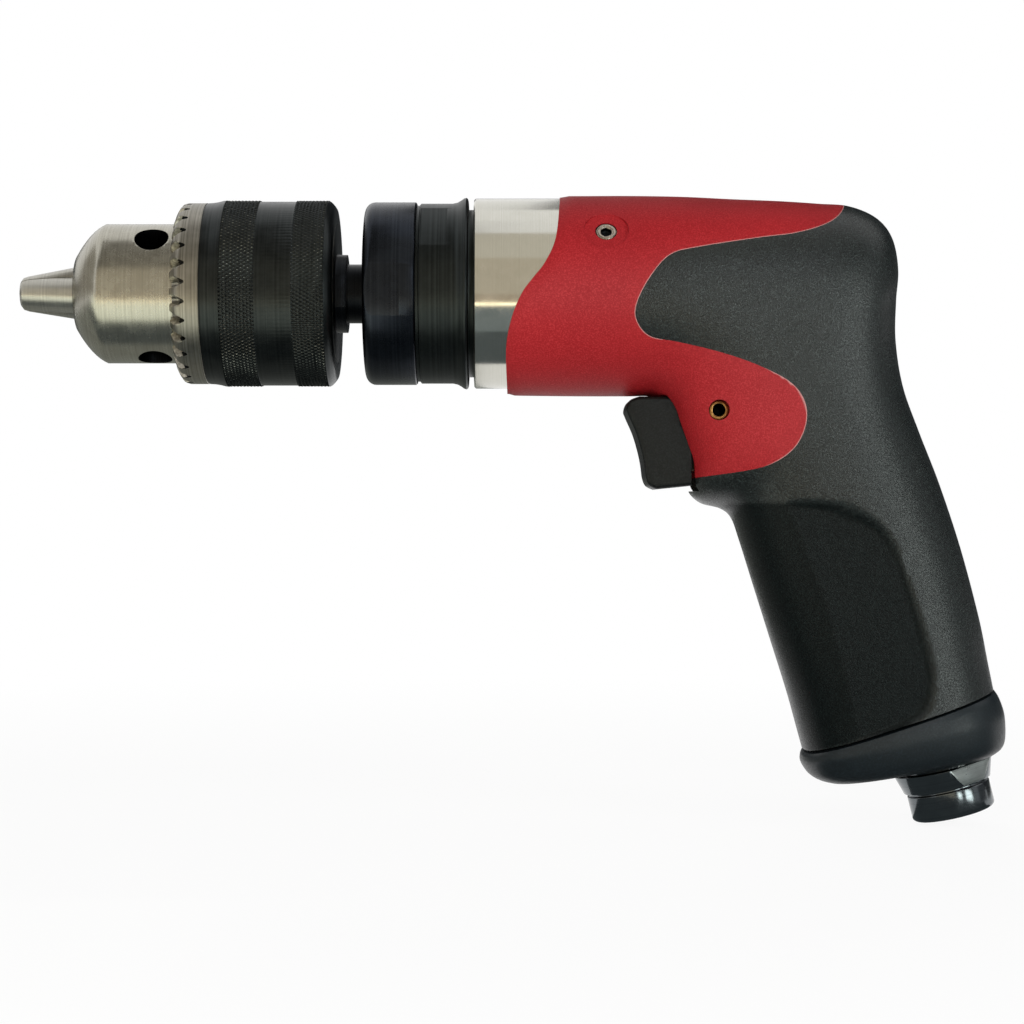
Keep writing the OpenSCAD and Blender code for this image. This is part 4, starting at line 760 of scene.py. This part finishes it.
# housing and grip: one moulded form, split along the edge between the red shell and the black grip
valveLine = {"z": -34, "start": 160.02, "end": 196}  # the valve's axis behind the trigger
bodyShape = {
    "steps": 12, "around": 176,
    "sections": [  # x and z of the lower or front end, x and z of the other end, half width, squareness
        (111, -23.5, 111, 22.48, 22.9, 2.0), (128, -23.7, 128, 22.48, 22.98, 2.0),
        (140, -23.7, 141, 22.48, 22.98, 2.05), (145.4, -23.7, 153, 22.2, 22.9, 2.2),
        (148, -24.9, 164, 21.6, 22.6, 2.35), (150.1, -27.7, 175, 21.1, 22.2, 2.5),
        (151.4, -31.8, 184, 20.5, 21.7, 2.6), (152.9, -36.2, 191, 19.9, 21.2, 2.7),
        (154.1, -40, 197.2, 17.2, 20.8, 2.8), (154.3, -43.9, 200.9, 12.6, 20.5, 2.8),
        (154.8, -46.3, 202.3, 5.5, 20.2, 2.8), (157.4, -48.5, 201.8, -2, 19.9, 2.8),
        (161.8, -49.7, 201.7, -11, 19.6, 2.75), (164.4, -51.9, 203.4, -21.5, 19.3, 2.7),
        (166.3, -57.2, 207.2, -32, 19.1, 2.6), (169.3, -66.8, 211.8, -43.8, 18.9, 2.6),
        (173.1, -78.9, 216.7, -58.6, 18.8, 2.6), (177.2, -91.9, 220.9, -74.5, 18.9, 2.6),
        (179.5, -100.2, 223, -85, 18.9, 2.6), (180.9, -105.3, 224.2, -90.9, 19.1, 2.6)],
    "lineSteps": 8, "cutX": 90, "cutWidth": 90,
    "frontEdge": [
        (124.8, 27), (124.4, 21), (123.3, 11), (120.9, 5.3), (118.2, 1.7), (115.7, -1.8), (113.5, -7.2),
        (112.2, -14.1), (112.4, -23), (112.4, -27)],
    "gripEdge": [
        (190.8, 27), (189.8, 20.6), (187.4, 16.6), (183.4, 14), (176.8, 12), (169.1, 10.9), (155.6, 8.7),
        (148.9, 6.9), (144.5, 2.2), (141.4, -3.6), (141.2, -7.6), (144.2, -11.2), (150.8, -12.6),
        (159.8, -14.8), (168.6, -17.8), (175.8, -21.6), (179, -26), (179.2, -31), (176.8, -36),
        (172.3, -39.4), (166.6, -41.1), (155.4, -42.7), (140.8, -44.6)],
    "panel": [
        (158, -48.2), (168, -47.8), (182, -48), (189.4, -49.6), (195.6, -52.8), (199.6, -57.6), (202, -63.4),
        (204.8, -72), (207.6, -82), (208.6, -88.6), (207.6, -94.2), (203.8, -97.8), (196, -100.9),
        (184, -105), (168, -112)],
    "panelSteps": 4, "panelAt": 17.6, "panelEdge": 1.3,
    "boreStart": 100, "bore": 22.0, "boreEnd": 145, "rearBore": 19.45, "rearBoreEnd": 172.6,
    "triggerSlot": ((134.8, -9.25, -45.75), (160, 9.25, -23.72)), "valveBore": 7.1, "pinHole": 2.3,
    "screwHole": 2.45, "screwFlat": 5.05, "screwFlatAt": 22.14,
    "thinBefore": 130, "thinBy": 0.4, "thinOver": 2, "wallLeft": 0.12, "leastSpare": 0.2, "smoothUpTo": 38,
    "seamWidth": 0.8, "seamFaint": 0.4, "seamFaintBelow": -12, "seamFull": (164, 10)}


def edgeDistance(x, z, line):  # distance from a point to a line of points in the side view
    best = 1e9
    for (ax, az), (bx, bz) in zip(line, line[1:]):
        run = (bx - ax) ** 2 + (bz - az) ** 2
        t = min(1, max(0, ((x - ax) * (bx - ax) + (z - az) * (bz - az)) / run))
        best = min(best, math.hypot(x - ax - t * (bx - ax), z - az - t * (bz - az)))
    return best


def inside(x, z, outline):
    crossings = 0
    for (ax, az), (bx, bz) in zip(outline, outline[1:] + outline[:1]):
        if (az > z) != (bz > z) and x < ax + (z - az) / (bz - az) * (bx - ax):
            crossings += 1
    return crossings % 2 == 1


def ease(t):  # soft step from 0 to 1
    t = min(1, max(0, t))
    return t * t * (3 - 2 * t)


def panelDepth(x, z, line):  # 0 outside the side panel, 1 well inside it
    return ease(edgeDistance(x, z, line) / bodyShape["panelEdge"]) if inside(x, z, line) else 0


def seamStrength(x, z, line, look):  # the pale line is fainter under the trigger
    near = max(0, 1 - edgeDistance(x, z, line) / look["seamWidth"])
    if z > look["seamFaintBelow"]:
        return near
    fullFrom, fullOver = look["seamFull"]
    return near * (look["seamFaint"] + (1 - look["seamFaint"]) * ease((x - fullFrom) / fullOver))


def pressPanels(body, panel, look):  # flat side panels pressed into the handle
    for vertex in body.data.vertices:
        x, y, z = vertex.co * 1000
        if abs(y) > look["panelAt"]:
            press = mm(abs(y) - look["panelAt"]) * panelDepth(x, z, panel)
            vertex.co.y -= math.copysign(press, y)


def thinFrontEdge(housing, frontEdge, look):  # the red shell thins out towards its front edge
    for vertex in housing.data.vertices:
        x, y, z = vertex.co * 1000
        radius = math.hypot(y, z)
        spare = radius - look["bore"] - look["wallLeft"]
        if x < look["thinBefore"] and spare > look["leastSpare"]:
            drop = min(look["thinBy"], spare) * (1 - ease(edgeDistance(x, z, frontEdge) / look["thinOver"]))
            vertex.co = mm(*spoke(math.degrees(math.atan2(-y, z)), radius - drop, x))


def makeBody(look):
    body = loftPiece("bodyForm", through(look["sections"], look["steps"]), look["around"])
    panel = through(look["panel"], look["panelSteps"])
    frontEdge = through(look["frontEdge"], look["lineSteps"])
    gripEdge = through(look["gripEdge"], look["lineSteps"])
    pressPanels(body, panel, look)
    cutters = []
    for line in (gripEdge, frontEdge):  # everything in front of each line
        outline = line + [(look["cutX"], line[-1][1]), (look["cutX"], line[0][1])]
        cutters.append(slab("cutter", outline, look["cutWidth"]))
    redSide, openFront = cutters
    housing = copyPiece(body, "redHousing")
    carve(housing, copyPiece(redSide, "redTool"), "INTERSECT")
    carve(housing, openFront)
    grip = body
    grip.name = "blackGrip"
    carve(grip, redSide)
    boreEnd, valveZ = look["boreEnd"], valveLine["z"]
    for piece in (housing, grip):
        drillHole(piece, (look["boreStart"], 0, 0), (boreEnd, 0, 0), look["bore"], 192)
        drillHole(piece, (boreEnd - 1, 0, 0), (look["rearBoreEnd"], 0, 0), look["rearBore"], 128)
        carve(piece, block("slotTool", *look["triggerSlot"]))
        drillHole(piece, (valveLine["start"], 0, valveZ), (valveLine["end"], 0, valveZ), look["valveBore"])
    pinX, pinZ = pinShape["x"], pinShape["z"]
    drillHole(housing, (pinX, -farOut, pinZ), (pinX, farOut, pinZ), look["pinHole"])
    for side in (-1, 1):
        outer = screwPoint(side, farOut)
        drillHole(housing, screwPoint(side, look["screwFlatAt"]), outer, look["screwFlat"], 96)
        drillHole(housing, screwPoint(side, look["bore"] - 3), outer, look["screwHole"])
    thinFrontEdge(housing, frontEdge, look)
    shade(housing, look["smoothUpTo"])
    shade(grip, look["smoothUpTo"])
    places = [vertex.co * 1000 for vertex in housing.data.vertices]
    pointValues(housing, "seam", [seamStrength(p.x, p.z, gripEdge, look) for p in places])
    places = [vertex.co * 1000 for vertex in grip.data.vertices]
    pointValues(grip, "panel", [panelDepth(p.x, p.z, panel) for p in places])
    finishPiece(housing, "drill", "housing_red", redNylon, "housing")
    finishPiece(grip, "drill", "grip_black", blackGrip, "grip")


makeBody(bodyShape)
print("housing and grip made")

# end cap: deflector ring under the handle, with exhaust slots below
capShape = {
    "steps": 8, "around": 128,
    "sections": [
        (180.8, -106.1, 224.5, -91.4, 19.2, 2.6), (180.5, -107, 225.6, -93.2, 19.5, 2.6),
        (180.6, -108.6, 226.8, -97, 19.6, 2.6), (182.2, -111, 227, -102, 18.8, 2.6),
        (184.4, -112.3, 226.3, -104.4, 17.4, 2.6), (186.8, -112.9, 224.6, -105.9, 15.4, 2.6)],
    "slots": 4, "slotStart": (190.4, -8, -120), "slotSize": (1.6, 16, 12), "slotPitch": 4,
    "inletHole": ((216, 0, -120.3), (206, 0, -80), 9.1), "edge": 0.3, "edgeFrom": 50, "smoothUpTo": 40}


def makeCap(look):
    cap = loftPiece("endCap", through(look["sections"], look["steps"]), look["around"])
    for i in range(look["slots"]):
        low = Vector(look["slotStart"]) + Vector((look["slotPitch"] * i, 0, 0))
        carve(cap, block("slotTool", low, low + Vector(look["slotSize"])))
    drillHole(cap, *look["inletHole"], 96)
    breakEdges(cap, look["edge"], look["edgeFrom"])
    shade(cap, look["smoothUpTo"])
    finishPiece(cap, "drill", "cap_black", blackCap, "end_cap")


makeCap(capShape)

# trigger: scooped front, rounded edges, pocket for the valve stem behind
triggerShape = {
    "half": 8.9, "rear": 154.4, "bottom": -44.5, "stepX": 152.3, "stepZ": -30.5, "top": -24.1, "edge": 2.3,
    "edgeSteps": 5, "smoothUpTo": 40, "pocket": 7.35, "pocketFrom": 149.6, "frontSteps": 5,
    "front": [
        (142.6, -24.1), (140.4, -25), (139.6, -26.9), (140, -28.4), (141.7, -32.3), (142.9, -36.3),
        (143.6, -39.6), (144, -42.6), (144.8, -44.4), (146.5, -45.3)]}


def makeTrigger(look):
    rear, stepX, stepZ, valveZ = look["rear"], look["stepX"], look["stepZ"], valveLine["z"]
    outline = through(look["front"], look["frontSteps"])
    outline += [(rear, look["bottom"]), (rear, stepZ), (stepX, stepZ), (stepX, look["top"])]
    trigger = slab("trigger", outline, 2 * look["half"])
    rim = trigger.data.attributes.new(name="bevel_weight_edge", type="FLOAT", domain="EDGE")
    for edge in trigger.data.edges:  # both side outlines are rounded, except at the rear
        start, end = [trigger.data.vertices[v].co for v in edge.vertices]
        alongSide = abs(start.y - end.y) < mm(mergeReach)
        rim.data[edge.index].value = float(alongSide and min(start.x, end.x) < mm(rear - 0.1))
    applyModifier(trigger, "BEVEL", width=mm(look["edge"]), segments=look["edgeSteps"], limit_method="WEIGHT")
    drillHole(trigger, (look["pocketFrom"], 0, valveZ), (valveLine["start"], 0, valveZ), look["pocket"], 96)
    shade(trigger, look["smoothUpTo"])
    finishPiece(trigger, "trigger", "trigger_black", blackTrigger, "trigger")


makeTrigger(triggerShape)
print("end cap and trigger made")

makeScrews(screwShape)
makePin(pinShape)

# air inlet: plated ring, neck with two spanner flats above it
inletShape = {
    "place": (215.94, 0, -120.1), "tilt": -104, "ring": 9.6, "ringEnd": 6.2, "ringEdge": 0.2,
    "mouth": [(0, 0.9), (0.15, 0.5), (0.6, 0.1), (1, 0)],  # place along the axis, how far inside the ring
    "groove": 9.0, "grooveWide": 0.6, "neckStart": 10.1, "neck": 11.4, "neckEnd": 11.2, "flatAt": 9.7,
    "flatTurn": 120, "flatEnd": 12, "flatFacing": 0.96, "shank": 9.0, "top": 33.2, "bore": 4.8, "thread": 5.7,
    "threadEnd": 13, "threadEdge": 0.5, "edge": 0.12, "flatLeast": 2}


def makeInlet(look):
    ring, ringEnd, ringEdge, thread = look["ring"], look["ringEnd"], look["ringEdge"], look["thread"]
    grooveEnd = ringEnd + look["grooveWide"]
    profile = [(0, thread + look["threadEdge"])] + [(x, ring - under) for x, under in look["mouth"]]
    profile += [(ringEnd - ringEdge, ring), (ringEnd, ring - ringEdge), (ringEnd, look["groove"])]
    profile += [(grooveEnd, look["groove"]), (grooveEnd, look["neckStart"]), (look["neckEnd"], look["neck"])]
    profile += [(look["neckEnd"], look["shank"]), (look["top"], look["shank"]), (look["top"], look["bore"])]
    profile += [(look["threadEnd"], look["bore"]), (look["threadEnd"], thread), (look["threadEdge"], thread)]
    inlet = turnPiece("airInlet", profile, 128)
    millFlats(inlet, look["flatTurn"], look["flatAt"], grooveEnd - 0.05, look["flatEnd"])
    breakEdges(inlet, look["edge"])
    inlet.rotation_euler = (0, math.radians(look["tilt"]), 0)
    inlet.location = mm(*look["place"])
    settle(inlet)
    shade(inlet)
    finishPiece(inlet, "drill", "inlet_steel", inletSteel, "inlet_bush")
    inlet.data.materials.append(flatSteel)
    facing = Matrix.Rotation(math.radians(look["tilt"]), 3, "Y") @ Vector(spoke(look["flatTurn"], 1, 0))
    for face in inlet.data.polygons:  # the two milled flats are bare
        flat = abs(face.normal.dot(facing)) > look["flatFacing"]
        face.material_index = int(flat and face.area > mm(look["flatLeast"]) ** 2)


makeInlet(inletShape)
print("screws, pin and inlet made")

# solids of the frame that keep their own mesh
innerFinish = [
    (oiledSteelAndShade, ["spindle", "retaining_ring", "wave_washer"]),
    (gearSteel, ["planet_pins", "chuck_nut", "chuck_screw", "bearing_spacer", "cylinder_dowel", "ring_gear",
                 "sun_pinion", "rotor", "planet_gear_1", "planet_gear_2", "planet_gear_3"]),
    (silencerFelt, ["spindle_seal", "silencer"]),
    (motorIron, ["front_end_plate", "cylinder", "rear_end_plate"]),
    (vaneResin, ["vanes"]),
    (screwSteel, ["valve_stem"]),
    (sealRubber, ["valve_poppet", "stem_seal", "inlet_seal"]),
    (valveBrass, ["valve_bush", "inlet_strainer"])]
for bearing in ("front", "rear", "rotor_front", "rotor_rear"):
    innerFinish.append((bearingSteel, [bearing + "_bearing_outer", bearing + "_bearing_inner"]))
    innerFinish.append((valveBrass, [bearing + "_bearing_balls"]))
for material, names in innerFinish:
    for name in names:
        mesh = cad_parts[name].data
        mesh.materials.clear()
        mesh.materials.append(material)

# the valve spring: a merged and smoothed copy of the frame's mesh, which does not shorten with the trigger
# here
springShape = {"node": "valve_spring", "travel": 5}


def makeSpring(look):
    pick()
    bpy.ops.object.add(type="MESH")
    spring = bpy.context.object
    spring.name = "valveSpring"
    spring.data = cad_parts[look["node"]].data.copy()
    openMesh(spring)
    closeMesh()
    shade(spring)
    finishPiece(spring, "drill", "screw_steel", screwSteel, look["node"])
    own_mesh(spring)


makeSpring(springShape)
print("inner pieces finished")

# stage: pale floor, white surroundings, reflecting cards for the metal, lamps
stageLook = {
    "floorPlace": (113, 0, -122.6), "floorSize": 6000, "paper": "#f4f4f2", "paperRoughness": 0.9,
    "white": "#ffffff", "worldLevel": 0.46, "ceilingLevel": 0.12, "shadowReach": (150, 500),
    "nearWhite": 0.92}


def whiteToTheEye(material):  # 1 for the camera, mirrors and glass, 0 for other light
    path = addNode(material, "ShaderNodeLightPath")
    seen = path.outputs["Is Camera Ray"]
    for ray in ("Is Glossy Ray", "Is Transmission Ray"):
        seen = addNode(material, "ShaderNodeMath", {"operation": "MAXIMUM"}, {
            0: seen, 1: path.outputs[ray]}).outputs["Value"]
    return seen


def makeFloor(look):
    pick()
    bpy.ops.mesh.primitive_plane_add(size=mm(look["floorSize"]), location=mm(*look["floorPlace"]))
    floor = bpy.context.object
    floor.name = "paleFloor"
    paper, shader, place = startMaterial("palePaper", {
        "Base Color": linear(look["paper"]), "Roughness": look["paperRoughness"]})
    glow = addNode(paper, "ShaderNodeEmission", {"Color": linear(look["white"]), "Strength": 1})
    away = addNode(paper, "ShaderNodeVectorMath", {"operation": "LENGTH"}, {0: place}).outputs["Value"]
    near, far = look["shadowReach"]  # the shadow shows near the drill, farther off the paper is white
    white = addNode(paper, "ShaderNodeMapRange", {
        "From Min": mm(near), "From Max": mm(far), "To Min": look["nearWhite"]},
        {"Value": away}).outputs["Result"]
    seen = addNode(paper, "ShaderNodeMath", {"operation": "MULTIPLY"}, {
        0: whiteToTheEye(paper), 1: white}).outputs["Value"]
    mixed = addNode(paper, "ShaderNodeMixShader", {}, {
        0: seen, 1: shader.outputs["BSDF"], 2: glow.outputs["Emission"]}).outputs["Shader"]
    wire(paper, paper.node_tree.nodes["Material Output"], {"Surface": mixed})
    floor.data.materials.append(paper)


def makeWorld(look):
    world = bpy.data.worlds.new("whiteSurround")
    bpy.context.scene.world = world
    world.use_nodes = True
    background = world.node_tree.nodes["Background"]
    background.inputs["Color"].default_value = linear(look["white"])
    place = addNode(world, "ShaderNodeTexCoord").outputs["Generated"]
    height = addNode(world, "ShaderNodeSeparateXYZ", {}, {0: place}).outputs["Z"]
    soft = addNode(world, "ShaderNodeMapRange", {  # the ceiling gives less light than the walls
        "To Min": look["worldLevel"], "To Max": look["ceilingLevel"]}, {"Value": height}).outputs["Result"]
    level = addNode(world, "ShaderNodeMath", {"operation": "MAXIMUM"}, {
        0: whiteToTheEye(world), 1: soft}).outputs["Value"]
    wire(world, background, {"Strength": level})


def addCard(name, low, high, colour, strength):  # seen only in reflections
    card = block(name, low, high)
    glow = bpy.data.materials.new(name + "Glow")
    glow.use_nodes = True
    glow.node_tree.nodes.clear()
    light = addNode(glow, "ShaderNodeEmission", {"Color": linear(colour), "Strength": strength})
    addNode(glow, "ShaderNodeOutputMaterial", {}, {"Surface": light.outputs["Emission"]})
    card.data.materials.append(glow)
    card.visible_camera = False
    card.visible_diffuse = False
    card.visible_shadow = False


def addLamp(name, place, aim, size, power, colour):
    pick()
    bpy.ops.object.light_add(type="AREA", location=mm(*place))
    lamp = bpy.context.object
    lamp.name = name
    lamp.data.shape = "RECTANGLE"
    lamp.data.size, lamp.data.size_y = [mm(side) for side in size]
    lamp.data.energy = power
    lamp.data.color = linear(colour)[:3]
    lamp.rotation_euler = (mm(*aim) - mm(*place)).to_track_quat("-Z", "Y").to_euler()
    lamp.visible_camera = False
    lamp.visible_glossy = False


cards = {  # lowest corner, highest corner, colour, strength
    # walls in front and on the left: bands in the chuck and barrel, highlights on the grip
    "lowCard": ((-1500, -1400, -122), (330, -1390, 1100), "#c4bba9", 1),
    "highCard": ((-60, -1400, 1100), (750, -1390, 4500), "#d3cec1", 1),
    "chuckCard": ((-1500, -1400, 1100), (-60, -1390, 5000), "#6e6a62", 1),
    "chuckRoof": ((-1500, -1400, 5000), (-60, 300, 5010), "#6e6a62", 1),
    "roomCard": ((330, -1400, -122), (1150, -1390, 1100), "#3a3d3e", 1),
    "sparkCard": ((350, -1388, 300), (700, -1386, 760), "#f4f8ff", 2.5),
    "tableCard": ((520, -1388, -122), (790, -1386, 60), "#f2faf6", 7.5),
    "wallCard": ((1150, -1400, -122), (2600, -1390, 3000), "#3a3d3e", 1),
    "windowCard": ((1150, -1388, -122), (2050, -1386, 280), "#f2faf6", 6.5),
    "flankCard": ((2600, -1400, -122), (5600, -1390, 3000), "#a4a8aa", 1),
    "leftCard": ((-3010, -1500, -122), (-3000, 1600, 3000), "#a09c94", 1),
    # on the floor: what the undersides mirror
    "frontCard": ((-1500, -1390, -122), (330, -440, -121.5), "#b7a996", 1),
    "lineCard": ((-900, -440, -122), (260, -370, -121), "#fff0cc", 3.3),
    "chuckGlow": ((-900, -370, -122), (60, -110, -121.5), "#f6fbec", 1.5),
    "shadeCard": ((75, -370, -122), (1100, -110, -121.5), "#7b8486", 1),
    "darkCard": ((-900, -110, -122), (1100, 2, -121.5), "#565d5f", 1),
    "behindCard": ((-900, 2, -122), (103, 1500, -121.5), "#8a8d88", 1),
    # behind and to the right: dark outlines on the grip
    "backCard": ((-4000, 1500, -122), (4200, 1510, 480), "#4a4d4e", 1),
    "rightCard": ((5700, -1390, -122), (5710, 1510, 3000), "#6a6d6f", 1),
    "cornerCard": ((160, 1500, 480), (5700, 1510, 3000), "#34373a", 1)}
lamps = {  # place, aim, size, power, colour
    "keyLamp": ((60, -1100, 250), (110, 0, -20), (700, 700), 7, "#fdfdfb"),
    "bounceLamp": ((60, -420, -110), (140, 0, -30), (500, 200), 0.95, "#fdfbf6"),
    "rearLamp": ((150, 1000, 300), (120, 0, -30), (800, 800), 6, "#fdfdfb"),
    "sideLamp": ((900, -700, 350), (130, 0, -50), (500, 900), 3.5, "#f6f9ff")}

makeFloor(stageLook)
makeWorld(stageLook)
for name, card in cards.items():
    addCard(name, *card)
for name, lamp in lamps.items():
    addLamp(name, *lamp)

# camera at the photograph's place
cameraLook = {"aim": (113.5, 0, -50.5), "distance": 560, "frame": 237.2, "sensor": 36, "clip": 10}


def makeCamera(look):
    pick()
    x, y, z = look["aim"]
    bpy.ops.object.camera_add(location=mm(x, y - look["distance"], z), rotation=(math.pi / 2, 0, 0))
    camera = bpy.context.object
    camera.data.sensor_width = look["sensor"]
    camera.data.lens = look["sensor"] * look["distance"] / look["frame"]
    camera.data.clip_start = mm(look["clip"])
    bpy.context.scene.camera = camera


makeCamera(cameraLook)
print("stage and camera made")
